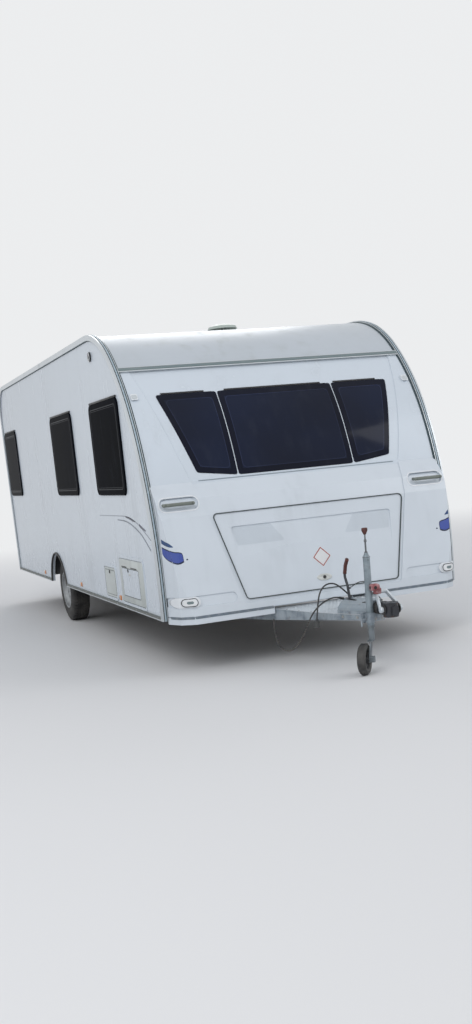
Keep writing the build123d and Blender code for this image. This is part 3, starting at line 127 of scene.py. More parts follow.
def new_group(name, takes, gives):
    """A shader node group; gives it with the sockets of its two ends."""
    group = bpy.data.node_groups.new(name, "ShaderNodeTree")
    for label, value in takes.items():
        kind = "NodeSocketFloat" if isinstance(value, float) else "NodeSocketColor"
        group.interface.new_socket(label, in_out="INPUT", socket_type=kind).default_value = value
    for label, kind in gives.items():
        group.interface.new_socket(label, in_out="OUTPUT", socket_type="NodeSocket" + kind)
    ends = group.nodes.new("NodeGroupInput"), group.nodes.new("NodeGroupOutput")
    return group, ends[0].outputs, ends[1].inputs


def feed(tree, source, socket):
    """Joins an output to an input."""
    tree.links.new(source, socket)


def new_finish(name, **plain):
    """A material with plain values on its shader; gives the material, its tree and its shader."""
    material = bpy.data.materials.new(name)
    material.use_nodes = True
    shader = material.node_tree.nodes["Principled BSDF"]
    for socket, value in plain.items():
        shader.inputs[socket.replace("_", " ")].default_value = value
    return material, material.node_tree, shader


def raise_by(tree, shader, height, distance, strength=1.0):
    """Lets a height stand out of the surface."""
    bump = add_node(tree, "Bump", {"Height": height, "Distance": distance, "Strength": strength})
    feed(tree, bump.outputs["Normal"], shader.inputs["Normal"])


SKIN = {"Colour": "Color", "Roughness": "Float", "Height": "Float"}
# Group: the fine grain of moulded rubber and plastic, rubbed in places and dusty near the ground
grain, takes, gives = new_group("grain_and_dust", {
    "Base": (0.02, 0.02, 0.02, 1), "Worn": (0.06, 0.06, 0.06, 1), "Wear": 0.4, "Dust": 0.5,
    "Grain Scale": 900.0}, SKIN)
rubbed = between(grain, noise(grain, 26.0, 6.0), 0.45, 0.72)
rubbed = worked(grain, "MULTIPLY", rubbed, takes["Wear"])
low_down = between(grain, height_of(grain), 0.75, 0.05)
dusty = worked(grain, "MULTIPLY", between(grain, noise(grain, 11.0, 5.0), 0.30, 0.72), low_down)
dusty = worked(grain, "MULTIPLY", dusty, takes["Dust"])
worn = mixed(grain, rubbed, takes["Base"], takes["Worn"])
feed(grain, mixed(grain, dusty, worn, (0.20, 0.19, 0.17, 1)), gives["Colour"])
dullness = worked(grain, "ADD", 0.48, worked(grain, "MULTIPLY", rubbed, 0.25))
feed(grain, worked(grain, "ADD", dullness, worked(grain, "MULTIPLY", dusty, 0.35), clamp=True),
     gives["Roughness"])
pebbles = noise(grain, takes["Grain Scale"], 2.0)
feed(grain, worked(grain, "ADD", worked(grain, "MULTIPLY", pebbles, 0.4), rubbed), gives["Height"])


def coated(name, group, values, depth, strength, **plain):
    """A finish that takes its colour, roughness and relief from a group."""
    material, tree, shader = new_finish(name, **plain)
    skin = add_node(tree, "Group", values, node_tree=group)
    feed(tree, skin.outputs["Colour"], shader.inputs["Base Color"])
    feed(tree, skin.outputs["Roughness"], shader.inputs["Roughness"])
    raise_by(tree, shader, skin.outputs["Height"], depth, strength)
    return material


def grained(name, base, worn, wear=0.4, dust=0.5, scale=900.0):
    """A moulded rubber or plastic finish."""
    return coated(name, grain, {"Base": (*base, 1), "Worn": (*worn, 1), "Wear": wear, "Dust": dust,
                                "Grain Scale": scale}, 0.0004, 0.6)


def finished(name, shape, finish, body="caravan_body", crease=35):
    """Closes a mesh under construction into a named piece that rides on a body."""
    bmesh.ops.remove_doubles(shape, verts=shape.verts, dist=0.00002)
    bmesh.ops.recalc_face_normals(shape, faces=shape.faces)
    mesh = bpy.data.meshes.new(name)
    shape.to_mesh(mesh)
    shape.free()
    mesh.materials.append(finish)
    mesh.polygons.foreach_set("use_smooth", [True] * len(mesh.polygons))
    mesh.set_sharp_from_angle(angle=radians(crease))
    piece = bpy.data.objects.new(name, mesh)
    bpy.context.collection.objects.link(piece)
    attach(piece, body)
    return piece


def aimed(start, end):
    """A placing matrix at a point, whose z axis points at another."""
    return Matrix.Translation(start) @ (Vector(end) - Vector(start)).to_track_quat(
        "Z", "Y").to_matrix().to_4x4()


def turned(shape, outline, place, steps=24, closed=False):
    """Turns (distance along, radius) points about the z axis of a placing matrix."""
    before = set(shape.verts)
    points = [shape.verts.new((radius, 0, along)) for along, radius in outline]
    rungs = list(zip(points, points[1:])) + ([(points[-1], points[0])] if closed else [])
    edges = [shape.edges.new(rung) for rung in rungs]
    bmesh.ops.spin(shape, geom=points + edges, cent=(0, 0, 0), axis=(0, 0, 1), angle=2 * pi,
                   steps=steps, use_merge=True, use_duplicate=False)
    made = [vertex for vertex in shape.verts if vertex not in before]
    bmesh.ops.remove_doubles(shape, verts=made, dist=0.00001)
    bmesh.ops.transform(shape, matrix=place,
                        verts=[vertex for vertex in shape.verts if vertex not in before])


def cable(name, route, diameter, finish):
    """A free cable as one smooth spline with a round section."""
    curve = bpy.data.curves.new(name, "CURVE")
    curve.dimensions = "3D"
    curve.bevel_depth = diameter / 2
    curve.bevel_resolution = 5
    curve.use_fill_caps = True
    curve.resolution_u = 16
    spline = curve.splines.new("NURBS")
    spline.points.add(len(route) - 1)
    for point, stop in zip(spline.points, route):
        point.co = (*at(*stop), 1)
    spline.order_u = 3
    spline.use_endpoint_u = True
    piece = bpy.data.objects.new(name, curve)
    bpy.context.collection.objects.link(piece)
    curve.materials.append(finish)
    return piece


cable_sheath = grained("cable_sheath", (0.018, 0.018, 0.020), (0.07, 0.068, 0.064), wear=0.5)

SUPPLY_ROUTE = [(0.020, -0.584, 0.476), (-0.034, -0.590, 0.529), (-0.106, -0.602, 0.588),
                (-0.182, -0.614, 0.592), (-0.236, -0.622, 0.547), (-0.258, -0.625, 0.472),
                (-0.269, -0.624, 0.402), (-0.275, -0.622, 0.352)]
CHASSIS_ROUTE = [(-0.044, -0.590, 0.468), (-0.090, -0.590, 0.486), (-0.152, -0.588, 0.480),
                 (-0.222, -0.582, 0.448), (-0.286, -0.576, 0.390), (-0.326, -0.566, 0.312),
                 (-0.361, -0.548, 0.228), (-0.402, -0.516, 0.158), (-0.447, -0.468, 0.122),
                 (-0.480, -0.408, 0.145), (-0.484, -0.350, 0.200), (-0.470, -0.290, 0.255),
                 (-0.452, -0.240, 0.300), (-0.433, -0.200, 0.330)]
BREAKAWAY_ROUTE = [(0.002, -0.629, 0.545), (0.012, -0.680, 0.571), (0.019, -0.745, 0.592),
                   (0.019, -0.818, 0.600), (0.012, -0.892, 0.593), (0.003, -0.962, 0.569),
                   (-0.003, -1.028, 0.535), (-0.003, -1.078, 0.508), (-0.002, -1.105, 0.497)]

supply = cable("supply_lead", SUPPLY_ROUTE, 0.011, cable_sheath)
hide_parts("supply_cable")
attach(supply, "caravan_body")

chassis = cable("chassis_lead", CHASSIS_ROUTE, 0.011, cable_sheath)
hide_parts("chassis_cable")
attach(chassis, "caravan_body")

breakaway = cable("breakaway_lead", BREAKAWAY_ROUTE, 0.007, cable_sheath)
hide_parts("breakaway_cable")
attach(breakaway, "caravan_body")

# Rubber boots where the leads leave the cover, tapered along the first run of each lead
black_rubber = grained("black_rubber", (0.016, 0.016, 0.017), (0.05, 0.05, 0.048), wear=0.5)
BOOT_OUTLINE = [(-0.004, 0.0), (-0.004, 0.0095), (0.002, 0.0100), (0.006, 0.0088), (0.008, 0.0094),
                (0.011, 0.0083), (0.013, 0.0088), (0.016, 0.0078), (0.018, 0.0082), (0.022, 0.0073),
                (0.030, 0.0067), (0.031, 0.0060), (0.031, 0.0)]
shape = bmesh.new()
for route in (SUPPLY_ROUTE, CHASSIS_ROUTE):
    turned(shape, BOOT_OUTLINE, aimed(at(*route[0]), at(*route[1])))
finished("lead_boots", shape, black_rubber)

# Crimped ferrules at both ends of the breakaway cable
shape = bmesh.new()
for end, neighbour in ((BREAKAWAY_ROUTE[0], BREAKAWAY_ROUTE[1]),
                       (BREAKAWAY_ROUTE[-1], BREAKAWAY_ROUTE[-2])):
    turned(shape, [(0.003, 0.0), (0.003, 0.0046), (0.005, 0.0054), (0.009, 0.0046), (0.012, 0.0054),
                   (0.016, 0.0046), (0.019, 0.0054), (0.021, 0.0046), (0.021, 0.0)],
           aimed(at(*end), at(*neighbour)), steps=16)
ferrule_zinc, tree, shader = new_finish("ferrule_zinc", Metallic=1.0)
tarnish = noise(tree, 160.0, 3.0)
feed(tree, mixed(tree, tarnish, (0.42, 0.43, 0.44, 1), (0.66, 0.67, 0.68, 1)),
     shader.inputs["Base Color"])
feed(tree, between(tree, tarnish, 0.2, 0.8, 0.3, 0.6), shader.inputs["Roughness"])
raise_by(tree, shader, tarnish, 0.0002)
finished("breakaway_ferrules", shape, ferrule_zinc)

# Floor and light: a plain pale studio floor, a soft sky and three large soft lamps.
# The floor fades into the pale backdrop far from the caravan and keeps its shadow close by.
BACKDROP = (0.84, 0.85, 0.86, 1)
FADE_START, FADE_END = 6.5, 15.0


def in_view(tree):
    """Marks what is seen straight, in a reflection or through a pane."""
    ray = add_node(tree, "LightPath").outputs
    seen = worked(tree, "MAXIMUM", ray["Is Camera Ray"], ray["Is Glossy Ray"])
    return worked(tree, "MAXIMUM", seen, ray["Is Transmission Ray"])


shape = bmesh.new()
bmesh.ops.create_grid(shape, x_segments=1, y_segments=1, size=60)
floor_mesh = bpy.data.meshes.new("studio_floor")
shape.to_mesh(floor_mesh)
shape.free()
floor = bpy.data.objects.new("studio_floor", floor_mesh)
bpy.context.collection.objects.link(floor)
pale, tree, shader = new_finish("studio_pale", Base_Color=(0.74, 0.745, 0.75, 1), Roughness=0.9)
floor_mesh.materials.append(pale)
reach = add_node(tree, "VectorMath", {0: own_place(tree)}, operation="LENGTH").outputs["Value"]
fade = worked(tree, "MULTIPLY", in_view(tree), between(tree, reach, FADE_START, FADE_END))
glow = add_node(tree, "Emission", {"Color": BACKDROP, "Strength": 1.0})
both = add_node(tree, "MixShader", {0: fade, 1: shader.outputs[0], 2: glow.outputs[0]})
feed(tree, both.outputs[0], tree.nodes["Material Output"].inputs["Surface"])

world = bpy.data.worlds.new("studio")
bpy.context.scene.world = world
world.use_nodes = True
tree = world.node_tree
sky = tree.nodes["Background"]
sky.inputs["Color"].default_value = (0.93, 0.95, 1.0, 1)
sky.inputs["Strength"].default_value = 0.60
backdrop = add_node(tree, "Background", {"Color": BACKDROP, "Strength": 1.0})
either = add_node(tree, "MixShader", {0: in_view(tree), 1: sky.outputs[0], 2: backdrop.outputs[0]})
feed(tree, either.outputs[0], tree.nodes["World Output"].inputs[0])

for name, place, size, watts in (("lamp_key", (-7, -9, 8), 6, 440),
                                 ("lamp_fill", (8, -7, 6), 6, 190),
                                 ("lamp_back", (3, 10, 9), 6, 300)):
    lamp = bpy.data.objects.new(name, bpy.data.lights.new(name, "AREA"))
    lamp.data.size = size
    lamp.data.energy = watts
    lamp.location = place
    lamp.rotation_euler = (Vector((0, 0, 1.2)) - Vector(place)).to_track_quat("-Z", "Y").to_euler()
    bpy.context.collection.objects.link(lamp)

# Body sheets: painted aluminium over an insulated shell, in one piece along each side, with front,
# roof and rear sheets. The white paint has aged, with run-off streaks and splashed road dirt, and
# its clean colour is toned down to a cool blue-grey: painted dusk shade.
ROOF_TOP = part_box("roof_panel")[1].z

# Group: rain streaks, patches and low splashes of a thin grey film on a clean colour
weather, takes, gives = new_group("weather_film", {
    "Clean": (0.7, 0.7, 0.7, 1), "Film": (0.4, 0.4, 0.4, 1), "Amount": 0.4, "Splash Height": 1.0},
    {"Colour": "Color", "Mask": "Float"})
runs = between(weather, noise(weather, 8.0, 2.0, (1, 1, 0.06)), 0.48, 0.85)
patches = between(weather, noise(weather, 1.7, 3.0), 0.30, 0.72)
runs = worked(weather, "MULTIPLY", runs, patches)
clouds = worked(weather, "MULTIPLY", between(weather, noise(weather, 1.9, 1.5), 0.40, 0.8), 0.25)
rise = worked(weather, "SUBTRACT", 1.0, between(weather, height_of(weather), 0.30, 1.0))
near_ground = worked(weather, "LESS_THAN", height_of(weather), takes["Splash Height"])
specks = between(weather, noise(weather, 6.0, 2.0), 0.30, 0.78, 0.05, 0.50)
splash = worked(weather, "MULTIPLY", worked(weather, "MULTIPLY", rise, near_ground), specks)
film_on = worked(weather, "ADD", worked(weather, "ADD", runs, clouds), splash)
film_on = worked(weather, "MULTIPLY", film_on, takes["Amount"], clamp=True)
feed(weather, mixed(weather, film_on, takes["Clean"], takes["Film"]), gives["Colour"])
feed(weather, film_on, gives["Mask"])


def weathered(name, clean, film, amount, gloss, ripple=(2.4, 0.0012), splash=1.0, **plain):
    """A painted, moulded or metal skin under the film; gloss is its clean and filmed roughness."""
    material, tree, shader = new_finish(name, **plain)
    skin = add_node(tree, "Group", {"Clean": (*clean, 1), "Film": (*film, 1), "Amount": amount,
                                    "Splash Height": splash}, node_tree=weather)
    feed(tree, skin.outputs["Colour"], shader.inputs["Base Color"])
    feed(tree, between(tree, skin.outputs["Mask"], 0.0, 0.8, *gloss), shader.inputs["Roughness"])
    raise_by(tree, shader, noise(tree, ripple[0], 2.0), ripple[1])
    return material


def dress(finish, *names):
    """Gives CAD nodes a finish."""
    for name in names:
        mesh = nodes[name].data
        mesh.materials.clear()
        mesh.materials.append(finish)


FILM = (0.40, 0.43, 0.44)
# Painted shade: the walls' clean colour is white toned down to a cool blue-grey dusk shade
body_sheet = weathered("body_sheet", (0.61, 0.672, 0.735), FILM, 0.28, (0.27, 0.45), (2.3, 0.0020))
roof_sheet = weathered("roof_sheet", (0.50, 0.545, 0.59), (0.36, 0.39, 0.38), 0.5, (0.34, 0.55),
                       (2.2, 0.0025), 0.1)
dress(body_sheet, "front_panel", "rear_panel", "side_wall_offside", "side_wall_nearside")
dress(roof_sheet, "roof_panel")


def eased_edges(shape, edges, offset, segments=2):
    """Rounds edges of a mesh under construction."""
    bmesh.ops.bevel(shape, geom=edges, offset=offset, offset_type="OFFSET", segments=segments,
                    profile=0.5, affect="EDGES", clamp_overlap=True, material=-1)


def block(shape, start, end, edge, place=Matrix.Translation(at(0, 0, 0)), segments=2):
    """Adds a box with rounded edges; its corners are (x, back, height) unless place is given."""
    size = [abs(b - a) for a, b in zip(start, end)]
    middle = [(a + b) / 2 for a, b in zip(start, end)]
    made = bmesh.ops.create_cube(shape, size=1, matrix=place @ Matrix.Translation(middle)
                                 @ Matrix.Diagonal((*size, 1)))
    eased_edges(shape, list({side for vertex in made["verts"] for side in vertex.link_edges}), edge,
                segments)


# Cover strips over the cross joints of front, roof and rear sheets, bedded in grey-green sealant
seam_strip = weathered("seam_strip", (0.155, 0.205, 0.215), (0.30, 0.34, 0.33), 0.6, (0.45, 0.65),
                       (60.0, 0.0006), 0.1)
seam_lip = weathered("seam_lip", (0.60, 0.64, 0.66), FILM, 0.5, (0.35, 0.5), (60.0, 0.0004), 0.1)
SEAM_HALF = 1.187
FRONT_SEAM = Matrix.Translation(at(0, 0.633, 2.249)) @ Matrix.Rotation(radians(47), 4, "X")
shape = bmesh.new()
block(shape, (-SEAM_HALF, -0.013, -0.003), (SEAM_HALF, 0.013, 0.0035), 0.0014, FRONT_SEAM)
block(shape, (-SEAM_HALF, 5.776, ROOF_TOP - 0.004), (SEAM_HALF, 5.804, ROOF_TOP + 0.004), 0.0015)
finished("seam_strips", shape, seam_strip)
shape = bmesh.new()
block(shape, (-SEAM_HALF, -0.0245, -0.003), (SEAM_HALF, -0.0165, 0.003), 0.0014, FRONT_SEAM)
block(shape, (-SEAM_HALF, 0.0165, -0.003), (SEAM_HALF, 0.0215, 0.0025), 0.0012, FRONT_SEAM)
finished("seam_lips", shape, seam_lip)

# Corner rails: an anodised angle over each long corner joint, screwed down under a vinyl insert.
# From outside in: bright metal, a dark groove, the blue-grey insert and a bead of dark sealant.
rail_bright = weathered("rail_bright", (0.60, 0.64, 0.67), (0.33, 0.36, 0.37), 0.55, (0.30, 0.55),
                        (140.0, 0.0002), Metallic=0.75)
rail_groove = grained("rail_groove", (0.012, 0.022, 0.028), (0.04, 0.05, 0.055), dust=0.2)
rail_insert = weathered("rail_insert", (0.40, 0.50, 0.57), (0.26, 0.31, 0.34), 0.5, (0.42, 0.6),
                        (90.0, 0.0003))
rail_sealant = weathered("rail_sealant", (0.020, 0.045, 0.055), (0.09, 0.12, 0.12), 0.5, (0.5, 0.7),
                         (70.0, 0.0008))
dress(rail_bright, "corner_rails")
OFFSIDE, NEARSIDE = -1, 1
SIDES = (OFFSIDE, NEARSIDE)
# The side outline's arcs from the foot of the nose upwards: radius and degrees
OUTLINE_ARCS = [(2.600, 26), (1.870, 24), (1.095, 40)]
# Where the nose begins to lean back and the walls end, the body's length and its rear top corner
NOSE_START, BODY_FOOT, BODY_LENGTH, TAIL_RADIUS = 0.577, 0.400, 6.230, 0.380


def only(kind, parts):
    """The vertices or the faces among mixed parts of a mesh."""
    return [part for part in parts if isinstance(part, kind)]


def drawn(shape, faces, way, **options):
    """Draws faces straight along a way; gives the new end faces."""
    made = bmesh.ops.extrude_face_region(shape, geom=faces, **options)["geom"]
    bmesh.ops.translate(shape, verts=only(bmesh.types.BMVert, made), vec=way)
    return only(bmesh.types.BMFace, made)


def swept(shape, faces, centre, degrees, steps):
    """Sweeps end faces round a centre; gives the new end faces."""
    made = bmesh.ops.spin(shape, geom=faces, cent=centre, axis=(1, 0, 0), angle=radians(-degrees),
                          steps=steps, use_duplicate=False)["geom_last"]
    return only(bmesh.types.BMFace, made)


def along_body(shape, section):
    """Runs a section of (x, height above the skin) corners round the body's side outline."""
    ends = [shape.faces.new([shape.verts.new(at(x, -out, BODY_FOOT)) for x, out in section])]
    ends = drawn(shape, ends, (0, 0, NOSE_START - BODY_FOOT))
    back, height, lean = 0.0, NOSE_START, 0
    for radius, degrees in OUTLINE_ARCS:
        back += radius * cos(radians(lean))
        height -= radius * sin(radians(lean))
        ends = swept(shape, ends, at(0, back, height), degrees, degrees // 2)
        lean += degrees
        back -= radius * cos(radians(lean))
        height += radius * sin(radians(lean))
    ends = drawn(shape, ends, (0, BODY_LENGTH - TAIL_RADIUS - back, 0))
    ends = swept(shape, ends, at(0, BODY_LENGTH - TAIL_RADIUS, height - TAIL_RADIUS), 90, 18)
    drawn(shape, ends, (0, 0, BODY_FOOT - height + TAIL_RADIUS))


for name, near, far, low, high, finish in (
        ("rail_grooves", 1.2105, 1.2185, 0.010, 0.0156, rail_groove),
        ("rail_inserts", 1.2010, 1.2100, 0.010, 0.0172, rail_insert),
        ("rail_edge_grooves", 1.1915, 1.2005, 0.010, 0.0158, rail_sealant),
        ("rail_beads", 1.1760, 1.1875, -0.004, 0.0060, rail_sealant),
        ("rail_side_beads", 1.2140, 1.2172, -0.0345, -0.0270, rail_sealant)):
    shape = bmesh.new()
    for side in SIDES:
        rounding = min(0.0012, (far - near) / 4)
        along_body(shape, [(side * near, low), (side * near, high - rounding),
                           (side * (near + rounding), high), (side * (far - rounding), high),
                           (side * far, high - rounding), (side * far, low)])
    finished(name, shape, finish)

# Front moulding and locker lid: glossy white glass-fibre toned to the same cool blue-grey painted
# dusk shade as the walls, splashed grey near the ground. The lid closes the gas locker, with a dark
# rubber seal in the gap round it.
moulded_white = weathered("moulded_white", (0.63, 0.685, 0.74), (0.38, 0.42, 0.45), 0.30,
                          (0.20, 0.42), (1.6, 0.0015))
dress(moulded_white, "front_moulding", "locker_lid")
# The moulding's middle face: height and how far back it lies
NOSE_SLOPE = [(0.375, -0.216), (0.500, -0.203), (1.135, -0.046), (1.262, 0.014), (1.412, 0.160)]


def nose_back(height):
    """How far back the moulding's middle face lies at a height."""
    return next(y0 + (y1 - y0) * (height - z0) / (z1 - z0)
                for (z0, y0), (z1, y1) in zip(NOSE_SLOPE, NOSE_SLOPE[1:]) if height <= z1)


def round_off(shape, face, radius, segments):
    """Rounds the corners of a flat face, and gives the face that is left."""
    before = set(shape.faces) - {face}
    for vertex, reach in [(loop.vert, radius / tan(loop.calc_angle() / 2)) for loop in face.loops]:
        bmesh.ops.bevel(shape, geom=[vertex], offset=reach, offset_type="OFFSET",
                        segments=segments, profile=0.5, affect="VERTICES", clamp_overlap=True,
                        material=-1)
    return next(made for made in shape.faces if made not in before)


def rounded(shape, corners, radius, segments=8):
    """Adds a flat face with rounded corners in the plane y = 0, from (x, height) points."""
    face = shape.faces.new([shape.verts.new((x, 0, z)) for x, z in corners])
    return round_off(shape, face, radius, segments)


def band(shape, corners, radius, inset, width, segments=8):
    """Adds a flat ring: the outline is set in, then rounded, and the ring lies inside it."""
    face = shape.faces.new([shape.verts.new((x, 0, z)) for x, z in corners])
    shape.normal_update()
    if inset:
        rim = bmesh.ops.inset_region(shape, faces=[face], thickness=inset, use_even_offset=True,
                                     use_boundary=True)["faces"]
        bmesh.ops.delete(shape, geom=rim, context="FACES")
    face = round_off(shape, face, radius, segments)
    shape.normal_update()
    bmesh.ops.inset_region(shape, faces=[face], thickness=width, use_even_offset=True,
                           use_boundary=True)
    bmesh.ops.delete(shape, geom=[face], context="FACES")


def rectangle(start_x, end_x, low_z, high_z):
    """The corners of an upright rectangle."""
    low_x, high_x = sorted((start_x, end_x))
    return [(low_x, low_z), (high_x, low_z), (high_x, high_z), (low_x, high_z)]


def sliced(shape, axis, low, high, pitch):
    """Cuts a flat shape at even steps, so that it can follow a curved sheet."""
    count = max(2, round((high - low) / pitch))
    for step in range(1, count):
        bmesh.ops.bisect_plane(shape, geom=shape.verts[:] + shape.edges[:] + shape.faces[:],
                               plane_co=Vector(axis) * (low + (high - low) * step / count),
                               plane_no=axis, dist=0.00001)


def thickened(shape, way):
    """Gives flat faces a depth along a way."""
    drawn(shape, shape.faces[:], way, use_keep_orig=True)


def skin_of(*names):
    """The surface of CAD nodes, to lay things on."""
    points, faces = [], []
    for name in names:
        first = len(points)
        points += [vertex.co for vertex in nodes[name].data.vertices]
        faces += [[first + corner for corner in face.vertices]
                  for face in nodes[name].data.polygons]
    return BVHTree.FromPolygons(points, faces)


# Rays start well outside the body. One that meets an edge may slip between two faces, so each is
# also cast a little to either side.
RAY_START = 6
NUDGES = [Vector((0, 0, 0)), Vector((0.0003, 0.0002, 0.0002)), Vector((-0.0003, -0.0002, -0.0002))]


def laid(shape, skin, proud, depth, toward=(0, 1, 0)):
    """Lays a flat shape on a surface, standing proud of it, and gives it a depth."""
    toward = Vector(toward)
    for vertex in shape.verts:
        start = vertex.co - toward * RAY_START
        hits = [skin.ray_cast(start + nudge, toward)[0] for nudge in NUDGES]
        hit = min((found for found in hits if found is not None), key=toward.dot)
        vertex.co += toward * ((hit - vertex.co).dot(toward) - proud)
    thickened(shape, toward * depth)


SEAL_CORNERS = [(-0.6245, 0.5027), (0.6245, 0.5027), (0.7858, 1.1403), (-0.7858, 1.1403)]
seal_rubber = grained("seal_rubber", (0.020, 0.034, 0.034), (0.07, 0.09, 0.09), dust=0.25)
shape = bmesh.new()
band(shape, SEAL_CORNERS, 0.033, 0, 0.0058)
sliced(shape, (0, 0, 1), 0.500, 1.140, 0.08)
for vertex in shape.verts:
    vertex.co.y = FRONT_FOOT + nose_back(min(vertex.co.z, 1.135)) - 0.0006
thickened(shape, (0, 0.010, 0))
finished("lid_seal", shape, seal_rubber)

# Painted shade under the moulding's turned-under lip: a blue-grey strip along its foot, on each
# side of the drawbar
painted_foot_shade = grained("painted_foot_shade", (0.125, 0.165, 0.205), (0.24, 0.27, 0.30), wear=0.8, dust=0.6)
shape = bmesh.new()
for side in SIDES:
    rounded(shape, rectangle(side * 0.430, side * 1.174, 0.4145, 0.4335), 0.004, 3)
sliced(shape, (1, 0, 0), -1.19, 1.19, 0.02)
laid(shape, skin_of("front_moulding", "chassis_rails"), 0.0022, 0.0034)
finished("painted_foot_shade_strips", shape, painted_foot_shade)

# Faded film panels in the lid's upper band, one toward each end, and the lid's other fittings
tint_film = weathered("tint_film", (0.545, 0.60, 0.655), (0.42, 0.46, 0.49), 0.6, (0.36, 0.6),
                      (40.0, 0.0004), 1.2)
lid_skin = skin_of("locker_lid")
shape = bmesh.new()
for side in SIDES:
    corners = [(0.343, 1.028), (0.245, 0.893), (0.624, 0.893), (0.651, 1.028)]
    rounded(shape, [(side * x, z) for x, z in corners], 0.010, 4)
sliced(shape, (0, 0, 1), 0.88, 1.04, 0.03)
sliced(shape, (1, 0, 0), -0.66, 0.66, 0.06)
laid(shape, lid_skin, 0.0005, 0.0009)
finished("lid_tints", shape, tint_film, "locker_lid")

# Blank diamond label: white film with a worn red edge
DIAMOND_X, DIAMOND_HEIGHT, DIAMOND_HALF = 0.022, 0.739, 0.078
diamond_red = weathered("diamond_red", (0.33, 0.070, 0.065), (0.45, 0.30, 0.29), 0.8, (0.35, 0.5),
                        (90.0, 0.0002))
diamond_white = weathered("diamond_white", (0.72, 0.73, 0.74), (0.5, 0.5, 0.5), 0.5, (0.35, 0.5),
                          (90.0, 0.0002))
corners = [(DIAMOND_X + DIAMOND_HALF, DIAMOND_HEIGHT), (DIAMOND_X, DIAMOND_HEIGHT + DIAMOND_HALF),
           (DIAMOND_X - DIAMOND_HALF, DIAMOND_HEIGHT), (DIAMOND_X, DIAMOND_HEIGHT - DIAMOND_HALF)]
shape = bmesh.new()
rounded(shape, corners, 0.004, 3)
laid(shape, lid_skin, 0.0005, 0.0009)
finished("diamond_blank", shape, diamond_white, "locker_lid")
shape = bmesh.new()
band(shape, corners, 0.004, 0.004, 0.0075, 3)
laid(shape, lid_skin, 0.0009, 0.0012)
finished("diamond_edge", shape, diamond_red, "locker_lid")

# The lid's lock: an oval plated escutcheon with a black key barrel
LOCK_X, LOCK_HEIGHT = 0.014, 0.588
lock_plate = weathered("lock_plate", (0.60, 0.62, 0.60), (0.38, 0.39, 0.37), 0.5, (0.25, 0.45),
                       (120.0, 0.0002), Metallic=0.1)
lock_black = grained("lock_black", (0.012, 0.012, 0.013), (0.05, 0.05, 0.05), dust=0.2)
LID_TILT = Matrix.Rotation(radians(90 - 13.9), 4, "X")
lock_at = Matrix.Translation(at(LOCK_X, nose_back(LOCK_HEIGHT) + 0.0068, LOCK_HEIGHT)) @ LID_TILT
shape = bmesh.new()
turned(shape, [(-0.002, 0.0), (-0.002, 0.061), (0.002, 0.061), (0.004, 0.0585), (0.0055, 0.053),
               (0.0058, 0.040), (0.0042, 0.036), (0.0042, 0.0)],
       lock_at @ Matrix.Diagonal((1, 0.42, 1, 1)), steps=48)
finished("lid_lock_plate", shape, lock_plate, "locker_lid")
shape = bmesh.new()
turned(shape, [(0.002, 0.0), (0.002, 0.0125), (0.0075, 0.0125), (0.0085, 0.0115), (0.0085, 0.004),
               (0.0070, 0.003), (0.0070, 0.0)], lock_at)
finished("lid_lock_barrel", shape, lock_black, "locker_lid")

# Bead along the moulding's top edge under the windows: a sealant bead whose dark grey-blue is
# painted shadow, the shadow line where the moulding meets the front panel
nose_top = skin_of("front_moulding", "front_panel")
bead_shadow_grey = weathered("bead_shadow_grey", (0.235, 0.285, 0.325), (0.22, 0.25, 0.25), 0.5, (0.5, 0.65),
                      (80.0, 0.0006), 0.1)
shape = bmesh.new()
rounded(shape, rectangle(-0.805, 0.815, 1.3790, 1.3855), 0.002, 3)
sliced(shape, (1, 0, 0), -0.80, 0.80, 0.10)
laid(shape, nose_top, 0.0028, 0.0060)
finished("window_ledge_shadow_bead", shape, bead_shadow_grey)

# Front windows: three double panes of smoke-tinted acrylic, hinged at the top under black bars.
# The inner skin is smaller, and its moulded edge shows as a lighter line inside a dark border.
acrylic, takes, gives = new_group("acrylic_marks", {"Tint": (0.01, 0.01, 0.02, 1)}, SKIN)
water = between(acrylic, noise(acrylic, 9.0, 6.0, (1, 1, 0.25)), 0.48, 0.80)
depth_of_tint = between(acrylic, noise(acrylic, 1.4, 2.0), 0.3, 0.7, 0.0, 0.5)
tint = mixed(acrylic, depth_of_tint, takes["Tint"], (0.004, 0.005, 0.010, 1))
feed(acrylic, mixed(acrylic, worked(acrylic, "MULTIPLY", water, 0.06), tint,
                    (0.09, 0.10, 0.12, 1)), gives["Colour"])
feed(acrylic, worked(acrylic, "ADD", 0.07, worked(acrylic, "MULTIPLY", water, 0.10)),
     gives["Roughness"])
feed(acrylic, noise(acrylic, 3.0, 2.0), gives["Height"])


def smoked(name, tint, bending):
    """Tinted acrylic with dried water marks; bending is its refractive index."""
    return coated(name, acrylic, {"Tint": (*tint, 1)}, 0.002, 0.5, IOR=bending)


front_smoke = smoked("front_smoke", (0.0055, 0.0105, 0.032), 1.28)
pane_border = smoked("pane_border", (0.0020, 0.0040, 0.015), 1.26)
pane_line = smoked("pane_line", (0.013, 0.021, 0.060), 1.35)
side_smoke = smoked("side_smoke", (0.004, 0.005, 0.007), 1.02)
side_line = smoked("side_line", (0.040, 0.043, 0.050), 1.06)
dress(front_smoke, "front_windows")
dress(side_smoke, "windows_offside", "windows_nearside", "door_window", "rear_window")
PANE_FOOT, PANE_SHOULDER, PANE_HEAD = 1.398, 1.440, 2.036
FRONT_PANES = [[(-0.484, PANE_FOOT), (-0.484, PANE_HEAD), (-0.972, PANE_HEAD),
                (-0.800, PANE_SHOULDER)],
               [(-0.477, PANE_FOOT), (0.477, PANE_FOOT), (0.477, PANE_HEAD), (-0.477, PANE_HEAD)],
               [(0.484, PANE_FOOT), (0.800, PANE_SHOULDER), (0.972, PANE_HEAD),
                (0.484, PANE_HEAD)]]
pane_skin = skin_of("front_windows")
